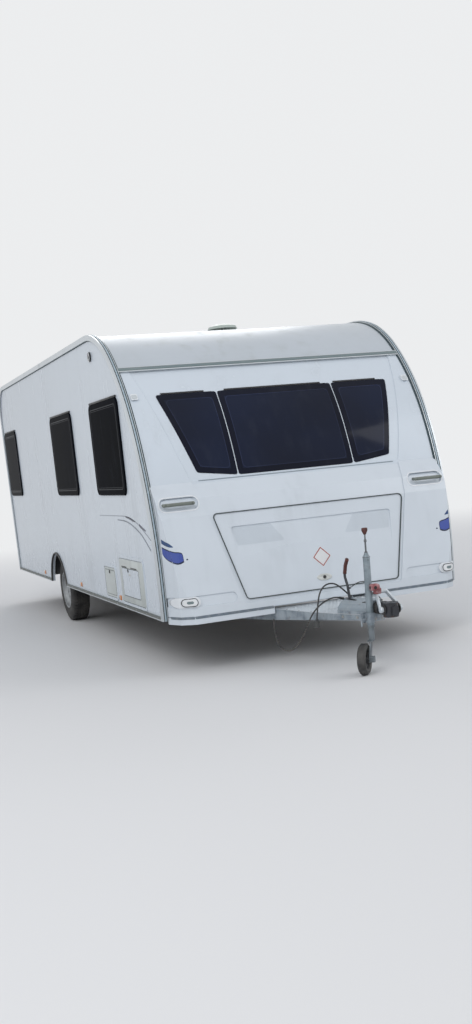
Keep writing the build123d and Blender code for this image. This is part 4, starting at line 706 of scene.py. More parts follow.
for name, radius, inset, width, proud, finish in (
        ("pane_borders", 0.038, 0.0085, 0.0345, 0.0006, pane_border),
        ("pane_lines", 0.034, 0.0445, 0.006, 0.0018, pane_line)):
    shape = bmesh.new()
    for corners in FRONT_PANES:
        band(shape, corners, radius, inset, width)
    sliced(shape, (0, 0, 1), PANE_FOOT, PANE_HEAD, 0.05)
    laid(shape, pane_skin, proud, proud + 0.0006)
    finished(name, shape, finish)

window_black = grained("window_black", (0.010, 0.010, 0.012), (0.04, 0.04, 0.042), dust=0.0)


def sheet_back(height, depth):
    """How far back the body's front lies at a height and a depth below its outer face."""
    back, centre, lean = 0.0, NOSE_START, 0
    for radius, degrees in OUTLINE_ARCS:
        back += radius * cos(radians(lean))
        centre -= radius * sin(radians(lean))
        lean += degrees
        if height <= centre + (radius - depth) * sin(radians(lean)):
            return back - ((radius - depth) ** 2 - (height - centre) ** 2) ** 0.5
        back -= radius * cos(radians(lean))
        centre += radius * sin(radians(lean))


# The corners that each pane closes on, tighter than the pane's own
shape = bmesh.new()
for corners in FRONT_PANES:
    band(shape, corners, 0.016, 0.0022, 0.0145)
sliced(shape, (0, 0, 1), PANE_FOOT, PANE_HEAD, 0.05)
for vertex in shape.verts:
    vertex.co.y = FRONT_FOOT + sheet_back(vertex.co.z, 0.0032)
thickened(shape, (0, 0.006, 0))
finished("pane_gaskets", shape, pane_border)

shape = bmesh.new()
for low_x, high_x in ((-0.925, -0.579), (-0.414, 0.396), (0.509, 0.884)):
    rounded(shape, rectangle(low_x, high_x, 2.0365, 2.0475), 0.004, 4)
laid(shape, skin_of("front_panel"), 0.0065, 0.010)
finished("front_hinge_bars", shape, window_black)

# Side and rear windows: the same acrylic, in frames that overlap the sheet, black from outside
SIDE_PANES = {OFFSIDE: [(0.633, 1.573), (2.307, 3.262), (5.340, 6.118)],
              NEARSIDE: [(0.633, 1.573), (3.400, 4.000), (5.340, 6.118)]}
# The windows' foot and head, and how far the walls' outer faces lie from the middle
SIDE_SILL, SIDE_HEAD, SHEET = 1.315, 2.060, 1.215


def side_on(side, reach):
    """Turns a flat shape, drawn as (distance back, height), to stand at a side."""
    return Matrix(((0, -1, 0, side * reach), (1, 0, 0, FRONT_FOOT), (0, 0, 1, 0), (0, 0, 0, 1)))


for name, radius, inset, width, low, high in (
        ("side_window_lines", 0.042, 0.046, 0.007, 1.2275, 1.2298),
        ("side_window_inner_lines", 0.030, 0.062, 0.003, 1.2280, 1.2296)):
    shape = bmesh.new()
    for side, panes in SIDE_PANES.items():
        before = set(shape.verts)
        for front, rear in panes:
            band(shape, rectangle(front, rear, SIDE_SILL, SIDE_HEAD), radius, inset, width)
        bmesh.ops.transform(shape, matrix=side_on(side, low),
                            verts=[vertex for vertex in shape.verts if vertex not in before])
    made = bmesh.ops.extrude_face_region(shape, geom=shape.faces[:], use_keep_orig=True)["geom"]
    for vertex in only(bmesh.types.BMVert, made):
        vertex.co.x = high if vertex.co.x > 0 else -high
    finished(name, shape, side_line)

# A hinge rail over each side window and over the rear one, and the rear pane's inner line
shape = bmesh.new()
for side, panes in SIDE_PANES.items():
    for front, rear in panes:
        block(shape, (side * (SHEET - 0.002), front + 0.035, SIDE_HEAD - 0.004),
              (side * (SHEET + 0.0125), rear - 0.035, SIDE_HEAD + 0.013), 0.004)
finished("side_hinge_rails", shape, window_black)
shape = bmesh.new()
band(shape, rectangle(-0.760, 0.760, 1.380, 2.000), 0.040, 0.044, 0.007)
laid(shape, skin_of("rear_window"), 0.0008, 0.0016, (0, -1, 0))
finished("rear_window_line", shape, side_line)
shape = bmesh.new()
block(shape, (-0.710, BODY_LENGTH - 0.002, 1.996), (0.710, BODY_LENGTH + 0.013, 2.013), 0.004)
finished("rear_hinge_rail", shape, window_black)

# Front lamps: a white pill-shaped housing on each wing, with a clear lens in a black gasket over
# a ribbed bowl, and a small square marker lamp high on each side.
moulding_skin = skin_of("front_moulding", "front_lamps", "front_panel")
lamp_white = weathered("lamp_white", (0.74, 0.77, 0.80), FILM, 0.25, (0.16, 0.35), (30.0, 0.0003))
dress(lamp_white, "front_lamps")
LAMP_HEIGHT, LENS_NEAR, LENS_FAR = 0.537, 1.011, 1.123


def about(middle, half):
    """Both ends of a stretch from its middle and half its length."""
    return middle - half, middle + half


def sliced_wings(shape, near, far, pitch):
    """Cuts a flat shape at even steps across, on both sides of the middle."""
    sliced(shape, (1, 0, 0), -far, -near, pitch)
    sliced(shape, (1, 0, 0), near, far, pitch)


def lens(name, low, high, stripes):
    """A moulded lens with fine ribs behind a glossy face."""
    material, tree, shader = new_finish(name, Coat_Weight=0.7, Coat_Roughness=0.05)
    place = own_place(tree)
    ribs = [add_node(tree, "TexWave", {"Vector": place, "Scale": stripes, "Distortion": 0.0,
                                       "Detail": 0.0}, wave_type="BANDS",
                     bands_direction=way).outputs["Fac"] for way in "XZ"]
    both = worked(tree, "MULTIPLY", *ribs)
    feed(tree, mixed(tree, both, (*low, 1), (*high, 1)), shader.inputs["Base Color"])
    feed(tree, between(tree, noise(tree, 60.0), 0.3, 0.7, 0.10, 0.25), shader.inputs["Roughness"])
    raise_by(tree, shader, both, 0.0006, 0.5)
    return material


clear_lens = lens("clear_lens", (0.70, 0.72, 0.73), (0.90, 0.91, 0.92), 55.0)
amber_lens = lens("amber_lens", (0.55, 0.16, 0.015), (0.75, 0.30, 0.03), 55.0)
red_lens = lens("red_lens", (0.22, 0.006, 0.008), (0.48, 0.016, 0.014), 36.0)
for name, inset, width, proud, finish, slot in (
        ("lamp_gaskets", 0.0, 0.005, 0.0016, window_black, "black_rubber"),
        ("lamp_rims", 0.0055, 0.0035, 0.0022, lamp_white, "moulded_white")):
    shape = bmesh.new()
    for side in SIDES:
        band(shape, rectangle(side * (LENS_NEAR - 0.004), side * (LENS_FAR + 0.004),
                              *about(LAMP_HEIGHT, 0.0295)), 0.0294 - inset, inset, width, 10)
    sliced_wings(shape, LENS_NEAR, LENS_FAR, 0.012)
    laid(shape, moulding_skin, proud, proud + 0.002)
    finished(name, shape, finish)
for name, half, tall, proud, finish, slot in (
        ("lamp_lenses", 0.0500, 0.0218, 0.0030, clear_lens, "lens_clear"),
        ("lamp_bulbs", 0.0240, 0.0100, 0.0036, seam_strip, "lens_clear")):
    shape = bmesh.new()
    for side in SIDES:
        rounded(shape, rectangle(*about(side * (LENS_NEAR + LENS_FAR) / 2, half),
                                 *about(LAMP_HEIGHT, tall)), tall * 0.99, 10)
    sliced_wings(shape, LENS_NEAR, LENS_FAR, 0.012)
    laid(shape, moulding_skin, proud, proud + 0.002)
    finished(name, shape, finish)
shape = bmesh.new()
for side in SIDES:
    rounded(shape, rectangle(*about(side * 1.137, 0.0215), 2.0145, 2.0475), 0.0120, 6)
laid(shape, moulding_skin, 0.0012, 0.003)
finished("marker_lenses", shape, lens("marker_lens", (0.50, 0.54, 0.56), (0.62, 0.66, 0.68), 40.0))

# Grab handles: a grey-green plastic bar on two feet, in a pale recess at the front, with a black
# disc of painted shade for the screw hole at the inner end of each bar.
handle_grey = grained("handle_grey", (0.155, 0.175, 0.155), (0.26, 0.28, 0.25), wear=0.35, dust=0.6)
dress(handle_grey, "grab_handles")


def facing(way, x, back, height):
    """A placing matrix at a point, whose z axis points along a way."""
    start = at(x, back, height)
    return aimed(start, start + Vector(way))


shape = bmesh.new()
for way, face, height in ((-1, -0.0462, 1.232), (1, BODY_LENGTH + 0.0462, 1.200)):
    for side in SIDES:
        for end in (0.925, 1.125):
            turned(shape, [(-0.004, 0.0), (-0.004, 0.0065), (0.0006, 0.0065), (0.0006, 0.0050),
                           (-0.0015, 0.0042), (-0.0015, 0.0)],
                   facing((0, way, 0), side * end, face, height), steps=16)
# The black disc at the inner end of each front bar is painted shade in its screw hole
for side in SIDES:
    turned(shape, [(0.0, 0.0), (0.0, 0.0100), (0.0045, 0.0085), (0.0055, 0.0)],
           aimed(at(side * 0.9215, -0.0375, 1.2310), at(0, -0.110, 1.2310)), steps=20)
finished("handle_screws_and_hole_shade", shape, window_black)
shape = bmesh.new()
for side in SIDES:
    band(shape, rectangle(side * 0.857, side * 1.171, 1.177, 1.287), 0.0545, 0, 0.008, 10)
sliced(shape, (0, 0, 1), 1.170, 1.290, 0.02)
sliced_wings(shape, 0.860, 1.175, 0.03)
laid(shape, moulding_skin, 0.0022, 0.0040)
finished("handle_bezels", shape, lamp_white)

# Vinyl stripes, mirrored on both sides: a dark sliver over a blue swoosh on each front wing, and
# two thin grey-blue lines that sweep down along the side wall to meet them.
swoosh_blue = weathered("swoosh_blue", (0.036, 0.070, 0.34), (0.12, 0.16, 0.35), 0.6, (0.26, 0.42),
                        (50.0, 0.0002), 1.2)
swoosh_navy = weathered("swoosh_navy", (0.008, 0.016, 0.060), (0.05, 0.07, 0.12), 0.5, (0.25, 0.4),
                        (50.0, 0.0002), 1.2)
sliver_blue = weathered("sliver_blue", (0.020, 0.060, 0.170), (0.08, 0.12, 0.20), 0.5, (0.25, 0.4),
                        (50.0, 0.0002), 1.2)
line_grey = weathered("line_grey", (0.075, 0.105, 0.150), (0.20, 0.23, 0.26), 0.6, (0.3, 0.5),
                      (50.0, 0.0002), 1.3)


def eased(points, where):
    """A point on a smooth line through points, at a share of the way from first to last."""
    place = where * (len(points) - 1)
    first = min(int(place), len(points) - 2)
    run = [Vector(points[max(0, min(len(points) - 1, first + step))]) for step in (-1, 0, 1, 2)]
    along = place - first
    square, cube = along ** 2, along ** 3
    ahead, behind = (run[2] - run[0]) / 2, (run[3] - run[1]) / 2
    return (run[1] * (2 * cube - 3 * square + 1) + ahead * (cube - 2 * square + along)
            + run[2] * (3 * square - 2 * cube) + behind * (cube - square))


def between_lines(shape, upper, lower, columns, rows):
    """Adds a flat grid that fills the space between two smooth lines of (x, height) points."""
    for vertex in bmesh.ops.create_grid(shape, x_segments=columns, y_segments=rows,
                                        size=1)["verts"]:
        where, rise = (vertex.co.x + 1) / 2, (vertex.co.y + 1) / 2
        x, z = eased(lower, where).lerp(eased(upper, where), rise)
        vertex.co = (x, 0, z)


def mirrored(shape):
    """Adds the mirror image of a shape on the caravan's other side."""
    bmesh.ops.mirror(shape, geom=shape.verts[:] + shape.edges[:] + shape.faces[:], axis="X",
                     merge_dist=0)


def stood(shape, side, reach, depth):
    """Stands a flat shape at a side, and gives it a depth toward the caravan's middle."""
    bmesh.ops.transform(shape, matrix=side_on(side, reach), verts=shape.verts)
    thickened(shape, (-side * depth, 0, 0))


wing_skin = skin_of("front_moulding")
SWOOSH_TOP = [(-1.1830, 0.940), (-1.168, 0.925), (-1.146, 0.910), (-1.112, 0.898), (-1.082, 0.893),
              (-1.061, 0.882), (-1.056, 0.856)]
SWOOSH_FOOT = [(-1.1830, 0.906), (-1.177, 0.882), (-1.164, 0.856), (-1.143, 0.836), (-1.113, 0.822),
               (-1.083, 0.822), (-1.056, 0.832)]
for name, top, foot, proud, finish in (
        ("swoosh_edges", [(x, z + 0.004) for x, z in SWOOSH_TOP],
         [(x, z - 0.009) for x, z in SWOOSH_FOOT], 0.0014, swoosh_navy),
        ("swooshes", [(x - 0.003, z - 0.003) for x, z in SWOOSH_TOP],
         [(x - 0.003, z + 0.002) for x, z in SWOOSH_FOOT], 0.0024, swoosh_blue),
        ("sliver_stripes", [(-1.1830, 0.998), (-1.166, 0.979), (-1.146, 0.964), (-1.120, 0.940)],
         [(-1.1830, 0.967), (-1.165, 0.948), (-1.146, 0.938), (-1.120, 0.935)], 0.0012,
         sliver_blue)):
    shape = bmesh.new()
    between_lines(shape, top, foot, 90, 8)
    for vertex in shape.verts:
        vertex.co.x = max(vertex.co.x, -1.1825)
    laid(shape, wing_skin, proud, proud + 0.0004)
    mirrored(shape)
    finished(name, shape, finish)
shape = bmesh.new()
turned(shape, [(-0.001, 0.0), (-0.001, 0.007), (0.0008, 0.007), (0.0008, 0.0)],
       facing((0, -1, 0), -1.030, -0.1195, 0.838), steps=20)
mirrored(shape)
finished("swoosh_dots", shape, swoosh_navy)

UPPER_LINE = [(1.640, 1.1500), (1.318, 1.1525), (1.040, 1.1555), (0.800, 1.1560), (0.633, 1.1440),
              (0.456, 1.1080), (0.333, 1.0680), (0.213, 1.0270), (0.120, 0.9900)]
LOWER_LINE = [(1.040, 1.1260), (0.819, 1.1210), (0.651, 1.1020), (0.475, 1.0620), (0.351, 1.0220),
              (0.256, 0.9760), (0.150, 0.9180)]
shape = bmesh.new()
for line, start, end in ((UPPER_LINE, 0.0040, 0.0090), (LOWER_LINE, 0.008, 0.017)):
    foot = [(x, z - start - (end - start) * step / (len(line) - 1))
            for step, (x, z) in enumerate(line)]
    between_lines(shape, line, foot, 60, 1)
stood(shape, OFFSIDE, SHEET + 0.0004, 0.0008)
mirrored(shape)
finished("side_lines", shape, line_grey)
shape = bmesh.new()
between_lines(shape, [(0.780, 1.1540), (0.660, 1.1460), (0.560, 1.1290), (0.500, 1.1180)],
              [(0.780, 1.1440), (0.665, 1.1300), (0.580, 1.1160), (0.500, 1.1130)], 20, 2)
between_lines(shape, [(0.405, 1.1050), (0.350, 1.0900), (0.290, 1.0740), (0.235, 1.0580)],
              [(0.405, 1.0880), (0.360, 1.0730), (0.300, 1.0580), (0.235, 1.0480)], 20, 2)
stood(shape, OFFSIDE, SHEET + 0.0004, 0.0008)
mirrored(shape)
finished("side_flashes", shape, swoosh_navy)

# Hatches in the offside wall: cream moulded frames round top-hung flaps with black key locks, two
# vent slots in the larger one, drawn as near-black strips of painted shade, and amber reflectors
# along the foot of both walls.
hatch_cream = weathered("hatch_cream", (0.55, 0.595, 0.585), (0.32, 0.34, 0.31), 0.6, (0.35, 0.55),
                        (70.0, 0.0004))
# Near-black: black plastic for locks and spokes, and painted shade in the vent slots and openings
black_plastic_and_slot_shade = grained("black_plastic_and_slot_shade", (0.006, 0.007, 0.008), (0.02, 0.02, 0.02), dust=0.3)
dress(body_sheet, "service_hatch")
dress(hatch_cream, "battery_hatch")
HATCH_FACE = 1.2180
for name, body, edges, radius, proud, finish, slot in (
        ("service_frame", "service_hatch", (0.4305, 1.1295, 0.4585, 0.8065), 0.0245, 0.0035,
         hatch_cream, "moulded_white"),
        ("service_groove", "service_hatch", (0.552, 1.054, 0.506, 0.739), 0.018, 0.0039,
         seal_rubber, "black_rubber"),
        ("service_panel", "service_hatch", (0.558, 1.048, 0.512, 0.733), 0.013, 0.0044,
         body_sheet, "body_white"),
        ("battery_groove", "battery_hatch", (1.332, 1.668, 0.477, 0.690), 0.018, 0.0008,
         seal_rubber, "black_rubber"),
        ("battery_panel", "battery_hatch", (1.336, 1.664, 0.481, 0.686), 0.014, 0.0013,
         hatch_cream, "moulded_white")):
    shape = bmesh.new()
    rounded(shape, rectangle(*edges), radius)
    stood(shape, OFFSIDE, HATCH_FACE + proud, proud + 0.001)
    if name == "service_frame":
        eased_edges(shape, [edge for edge in shape.edges if all(
            vertex.co.x < -HATCH_FACE - 0.003 for vertex in edge.verts)], 0.0014)
    finished(name, shape, finish, body)
for name, reach, width, proud, finish, slot in (
        ("hatch_surrounds", 0.0185, 0.0125, 0.0045, hatch_cream, "moulded_white"),
        ("hatch_seals", 0.0060, 0.0062, 0.0012, seal_rubber, "black_rubber")):
    shape = bmesh.new()
    for front, rear, low, high in ((0.429, 1.131, 0.457, 0.808), (1.314, 1.686, 0.459, 0.708)):
        band(shape, rectangle(front - reach, rear + reach, low - reach, high + reach),
             0.026 + reach, 0, width)
    stood(shape, OFFSIDE, SHEET + proud, proud + 0.002)
    finished(name, shape, finish)


def key_barrel(shape, radius, place):
    """Adds a lock's round face with its sunken key barrel."""
    turned(shape, [(-0.002, 0.0), (-0.002, radius), (0.0050, radius), (0.0062, radius - 0.0015),
                   (0.0062, radius - 0.009), (0.0050, radius - 0.010), (0.0050, 0.0)], place)


# Two near-black strips over the flap's top: painted shade in its vent slots; then the black lock
shape = bmesh.new()
for front, rear in ((0.604, 0.781), (0.905, 1.066)):
    block(shape, (-HATCH_FACE - 0.0042, front, 0.741), (-HATCH_FACE + 0.001, rear, 0.750), 0.0012)
key_barrel(shape, 0.015, facing((-1, 0, 0), -HATCH_FACE - 0.001, 0.864, 0.719))
finished("service_lock_and_slot_shade", shape, black_plastic_and_slot_shade, "service_hatch")
shape = bmesh.new()
block(shape, (-HATCH_FACE - 0.0068, 0.800, 0.680), (-HATCH_FACE + 0.001, 0.842, 0.698), 0.0025)
finished("service_tab", shape, lock_plate, "service_hatch")
shape = bmesh.new()
key_barrel(shape, 0.014, facing((-1, 0, 0), -HATCH_FACE, 1.500, 0.672))
finished("battery_lock", shape, black_plastic_and_slot_shade, "battery_hatch")
shape = bmesh.new()
for side, places in ((OFFSIDE, (1.222, 2.720, 4.560)), (NEARSIDE, (1.222, 2.240, 4.560))):
    for back in places:
        block(shape, (side * (SHEET - 0.002), back - 0.031, 0.452),
              (side * (SHEET + 0.0075), back + 0.031, 0.492), 0.004)
finished("side_reflectors", shape, amber_lens)
# The nearside wall's fridge vents, in slatted plastic grilles over near-black panels of painted
# shade in the openings, and the heater's flue cowl
dress(hatch_cream, "fridge_vents")
VENT_FACE, VENT_FRONT, VENT_REAR = SHEET + 0.010, 4.470, 4.930
VENTS = [(0.760, 1.000), (1.120, 1.280)]
shape = bmesh.new()
for foot, head in VENTS:
    count = round((head - foot - 0.03) / 0.024)
    for slat in range(count):
        middle = foot + 0.022 + slat * (head - foot - 0.044) / (count - 1)
        block(shape, (-0.006, VENT_FRONT + 0.012, -0.0015),
              (0.012, VENT_REAR - 0.012, 0.0015), 0.0007,
              Matrix.Translation(at(VENT_FACE - 0.001, 0, middle))
              @ Matrix.Rotation(radians(38), 4, "Y"))
finished("vent_slats", shape, hatch_cream)
# Near-black panels behind the slats: painted shade inside the vent openings
shape = bmesh.new()
for foot, head in VENTS:
    rounded(shape, rectangle(VENT_FRONT + 0.006, VENT_REAR - 0.006, foot + 0.006, head - 0.006),
            0.008, 4)
stood(shape, NEARSIDE, VENT_FACE + 0.0004, 0.001)
finished("fridge_vent_shade", shape, black_plastic_and_slot_shade)
dress(black_plastic_and_slot_shade, "flue_vent")
shape = bmesh.new()
for outer, inner, low, high in ((0.0375, 0.031, 0.0125, 0.0148), (0.024, 0.019, 0.0125, 0.0146)):
    turned(shape, [(low, inner), (high, inner), (high, outer), (low, outer)],
           facing((-1, 0, 0), -SHEET, 1.345, 2.426), steps=32, closed=True)
finished("flue_rings", shape, lamp_white)

# Entrance door: a flush leaf in a light frame, on three hinges at its front edge, closed on a
# black seal; the handle has a recessed cup, a paddle and a key barrel.
dress(body_sheet, "door_leaf")
dress(window_black, "door_handle")
DOOR_FRONT, DOOR_REAR, DOOR_FOOT, DOOR_HEAD = 2.440, 3.080, 0.516, 2.296
door_trim = weathered("door_trim", (0.60, 0.635, 0.66), FILM, 0.4, (0.3, 0.5), (90.0, 0.0003),
                      Metallic=0.4)
shape = bmesh.new()
band(shape, rectangle(DOOR_FRONT - 0.024, DOOR_REAR + 0.024, DOOR_FOOT - 0.024,
                      DOOR_HEAD + 0.024), 0.080, 0, 0.0225)
stood(shape, NEARSIDE, SHEET + 0.0045, 0.006)
finished("door_frame", shape, door_trim)
shape = bmesh.new()
band(shape, rectangle(DOOR_FRONT + 0.0005, DOOR_REAR - 0.0005, DOOR_FOOT + 0.0005,
                      DOOR_HEAD - 0.0005), 0.0595, 0, 0.0042)
stood(shape, NEARSIDE, SHEET - 0.003, 0.010)
finished("door_seal", shape, seal_rubber)
shape = bmesh.new()
band(shape, rectangle(2.560, 2.960, 1.330, 2.060), 0.046, 0.0035, 0.016)
stood(shape, NEARSIDE, SHEET + 0.0105, 0.005)
finished("door_window_frame", shape, window_black, "entrance_door")
shape = bmesh.new()
for low, high in ((0.560, 0.660), (0.700, 1.280)):
    band(shape, rectangle(2.500, 3.020, low, high), 0.030, 0, 0.004)
stood(shape, NEARSIDE, SHEET + 0.0052, 0.003)
finished("door_pressings", shape, body_sheet, "entrance_door")
HINGE_X, HINGE_BACK = 1.227, 2.442
shape, leaf_side = bmesh.new(), bmesh.new()
for height in (0.760, 1.420, 2.080):
    turned(shape, [(-0.045, 0.0), (-0.045, 0.0055), (-0.043, 0.0065), (0.043, 0.0065),
                   (0.045, 0.0055), (0.045, 0.0)],
           Matrix.Translation(at(HINGE_X, HINGE_BACK, height)), steps=16)
    block(shape, (SHEET - 0.001, HINGE_BACK - 0.046, height - 0.036),
          (SHEET + 0.0065, HINGE_BACK - 0.004, height + 0.036), 0.002)
    block(leaf_side, (SHEET + 0.002, HINGE_BACK + 0.009, height - 0.036),
          (SHEET + 0.0085, HINGE_BACK + 0.052, height + 0.036), 0.002)
finished("door_hinges", shape, door_trim)
finished("door_hinge_leaves", leaf_side, door_trim, "entrance_door")
shape = bmesh.new()
turned(shape, [(-0.002, 0.0), (-0.002, 0.012), (0.004, 0.012), (0.005, 0.011), (0.005, 0.004),
               (0.004, 0.003), (0.004, 0.0)],
       facing((1, 0, 0), 1.229, 3.005, 1.130))
finished("door_key_barrel", shape, lock_plate, "entrance_door")

# Skirts: extruded aluminium along the foot of each wall, with a bright rounded edge and screws,
# and a rubber arch trim round each wheel opening.
skirt_grey = weathered("skirt_grey", (0.125, 0.140, 0.135), (0.16, 0.16, 0.14), 0.7, (0.45, 0.65),
                       (120.0, 0.0003), Metallic=0.3)
dress(skirt_grey, "side_skirts")
AXLE_BACK, AXLE_HEIGHT, ARCH_RADIUS = 3.790, 0.325, 0.400
arch_reach = (ARCH_RADIUS ** 2 - (0.405 - AXLE_HEIGHT) ** 2) ** 0.5
shape = bmesh.new()
for side in SIDES:
    for front, rear in ((0.030, AXLE_BACK - arch_reach - 0.004),
                        (AXLE_BACK + arch_reach + 0.004, 6.200)):
        block(shape, (side * (SHEET + 0.006), front, 0.4000),
              (side * (SHEET + 0.0145), rear, 0.4085), 0.003)
finished("skirt_edges", shape, rail_bright)
shape = bmesh.new()
for side in SIDES:
    for step in range(21):
        back = 0.120 + step * 0.2985
        if abs(back - AXLE_BACK) > ARCH_RADIUS + 0.03:
            turned(shape, [(-0.001, 0.0), (-0.001, 0.0045), (0.0010, 0.0040), (0.0018, 0.0020),
                           (0.0018, 0.0)],
                   facing((side, 0, 0), side * (SHEET + 0.0118), back, 0.4180), steps=10)
finished("skirt_screws", shape, ferrule_zinc)
shape = bmesh.new()
for side in SIDES:
    section = [(side * (SHEET - 0.002), 0.0005), (side * (SHEET + 0.0140), 0.0005),
               (side * (SHEET + 0.0140), 0.0120), (side * (SHEET + 0.0090), 0.0150),
               (side * (SHEET - 0.002), 0.0150)]
    ends = [shape.faces.new([shape.verts.new(at(x, AXLE_BACK - ARCH_RADIUS - out + 0.0105,
                                                AXLE_HEIGHT)) for x, out in section])]
    bmesh.ops.rotate(shape, cent=at(0, AXLE_BACK, AXLE_HEIGHT), verts=ends[0].verts,
                     matrix=Matrix.Rotation(radians(-11.5), 3, "X"))
    swept(shape, ends, at(0, AXLE_BACK, AXLE_HEIGHT), 157, 48)
finished("arch_trims", shape, black_rubber)

# Roof: two tilting roof lights under smoke-white domes in clamped frames, and a mushroom vent
# with a ribbed cap on a screwed flange.
dome_white = weathered("dome_white", (0.50, 0.54, 0.53), (0.33, 0.37, 0.32), 0.6, (0.42, 0.6),
                       (14.0, 0.0006), 0.1, Coat_Weight=0.1)
vent_green = weathered("vent_green", (0.44, 0.50, 0.46), (0.28, 0.32, 0.27), 0.6, (0.35, 0.6),
                       (60.0, 0.0005), 0.1)
dress(dome_white, "roof_lights")
dress(vent_green, "mushroom_vent")
shape = bmesh.new()
latches = bmesh.new()
for middle in (2.300, 4.300):
    band(shape, rectangle(*about(0, 0.3055), *about(middle, 0.3055)), 0.066, 0, 0.024)
    for side in SIDES:
        for along in (-1, 1):
            block(latches, (side * 0.150 - 0.028, middle + along * 0.293 - 0.011, -0.002),
                  (side * 0.150 + 0.028, middle + along * 0.293 + 0.011, 0.016), 0.004,
                  Matrix.Translation(at(0, 0, ROOF_TOP)))
bmesh.ops.transform(shape, matrix=Matrix(((1, 0, 0, 0), (0, 0, 1, FRONT_FOOT),
                                          (0, 1, 0, ROOF_TOP - 0.001), (0, 0, 0, 1))),
                    verts=shape.verts)
thickened(shape, (0, 0, 0.008))
finished("roof_light_frames", shape, lamp_white)
finished("roof_light_clamps", latches, vent_green)


def spaced(place, count, offset=0.0):
    """Placing matrices at even turns about the z axis of another."""
    return [place @ Matrix.Rotation(2 * pi * (number + offset) / count, 4, "Z")
            for number in range(count)]


shape = bmesh.new()
vent_at = Matrix.Translation(at(0.040, 1.600, ROOF_TOP))
for turn in spaced(vent_at, 24):
    block(shape, (0.060, -0.002, 0.006), (0.122, 0.002, 0.034), 0.0015, turn)
for turn in spaced(vent_at, 8, 0.5):
    turned(shape, [(0.010, 0.0), (0.010, 0.0050), (0.0135, 0.0042), (0.0140, 0.0)],
           turn @ Matrix.Translation((0.080, 0, 0)), steps=10)
finished("mushroom_ribs", shape, vent_green)

# Rear: lamp towers with stacked lenses, a blank plate in the bumper's recess under its lamps,
# and two red triangles.
dress(red_lens, "rear_lamps")
LAMP_TOWER, TOWER_FACE = 1.080, BODY_LENGTH + 0.030


def hung(shape, back, depth):
    """Hangs a flat shape on the rear, and gives it a depth toward the caravan's middle."""
    bmesh.ops.translate(shape, verts=shape.verts, vec=at(0, back, 0))
    thickened(shape, (0, -depth, 0))


for name, low, high, finish, slot in (("rear_amber", 0.985, 1.085, amber_lens, "lens_red"),
                                      ("rear_reverse", 0.672, 0.760, clear_lens, "lens_clear")):
    shape = bmesh.new()
    for side in SIDES:
        rounded(shape, rectangle(*about(side * LAMP_TOWER, 0.052), low, high), 0.022, 6)
    hung(shape, TOWER_FACE + 0.0012, 0.004)
    finished(name, shape, finish)
shape = bmesh.new()
for side in SIDES:
    band(shape, rectangle(*about(side * LAMP_TOWER, 0.068), 0.637, 1.123), 0.046, 0, 0.010)
hung(shape, BODY_LENGTH + 0.005, 0.007)
for side in SIDES:
    for height in (0.7725, 0.9725):
        block(shape, (side * LAMP_TOWER - 0.058, TOWER_FACE - 0.004, height - 0.0035),
              (side * LAMP_TOWER + 0.058, TOWER_FACE + 0.0014, height + 0.0035), 0.001)
finished("rear_lamp_frames", shape, window_black)
plate_yellow = weathered("plate_yellow", (0.66, 0.47, 0.04), (0.40, 0.33, 0.14), 0.5, (0.25, 0.5),
                         (60.0, 0.0003))
shape = bmesh.new()
block(shape, (-0.260, BODY_LENGTH + 0.006, 0.4485), (0.260, BODY_LENGTH + 0.0125, 0.5595), 0.0025)
finished("rear_plate", shape, plate_yellow)
shape = bmesh.new()
for x in (-0.17, 0.17):
    block(shape, (x - 0.040, BODY_LENGTH - 0.002, 0.618), (x + 0.040, BODY_LENGTH + 0.026, 0.646),
          0.006)
finished("plate_lamps", shape, window_black)
shape = bmesh.new()
for side in SIDES:
    rounded(shape, [(side * 0.860 - 0.078, 0.655), (side * 0.860 + 0.078, 0.655),
                    (side * 0.860, 0.790)], 0.010, 4)
hung(shape, BODY_LENGTH + 0.007, 0.009)
finished("rear_triangles", shape, red_lens)

# Chassis: galvanised beams, cross members and axle tube bolted together under the floor, with four
# folded corner steadies. The zinc is mottled and dulled, with a little rust where it is thin.
zinc, takes, gives = new_group("zinc_spangle", {
    "Bright": (0.5, 0.5, 0.5, 1), "Dull": (0.3, 0.3, 0.3, 1), "Rust": 0.2}, SKIN)
flakes = add_node(zinc, "TexVoronoi", {"Vector": own_place(zinc), "Scale": 75.0}).outputs["Color"]
flakes = add_node(zinc, "RGBToBW", {0: flakes}).outputs[0]
dulled = between(zinc, noise(zinc, 9.0, 7.0), 0.36, 0.66)
streaks = between(zinc, noise(zinc, 30.0, 4.0, (1, 1, 0.12)), 0.44, 0.74)
dulled = worked(zinc, "ADD", worked(zinc, "MULTIPLY", dulled, 0.75),
                worked(zinc, "MULTIPLY", streaks, 0.45), clamp=True)
rusted = worked(zinc, "MULTIPLY", between(zinc, noise(zinc, 21.0, 9.0), 0.60, 0.70), takes["Rust"])
metal = mixed(zinc, dulled, takes["Bright"], takes["Dull"])
metal = mixed(zinc, worked(zinc, "MULTIPLY", flakes, 0.45), metal, takes["Bright"])
feed(zinc, mixed(zinc, rusted, metal, (0.115, 0.058, 0.030, 1)), gives["Colour"])
dullness = worked(zinc, "ADD", 0.40, worked(zinc, "MULTIPLY", dulled, 0.22))
feed(zinc, worked(zinc, "ADD", dullness, worked(zinc, "MULTIPLY", rusted, 0.4), clamp=True),
     gives["Roughness"])
feed(zinc, worked(zinc, "ADD", worked(zinc, "MULTIPLY", flakes, 0.25),
                  worked(zinc, "MULTIPLY", rusted, 0.8)), gives["Height"])


def galvanised(name, bright, dull, rust, metal):
    """Zinc-coated or bare steel that has weathered."""
    return coated(name, zinc, {"Bright": (*bright, 1), "Dull": (*dull, 1), "Rust": rust}, 0.0003,
                  0.7, Metallic=metal)


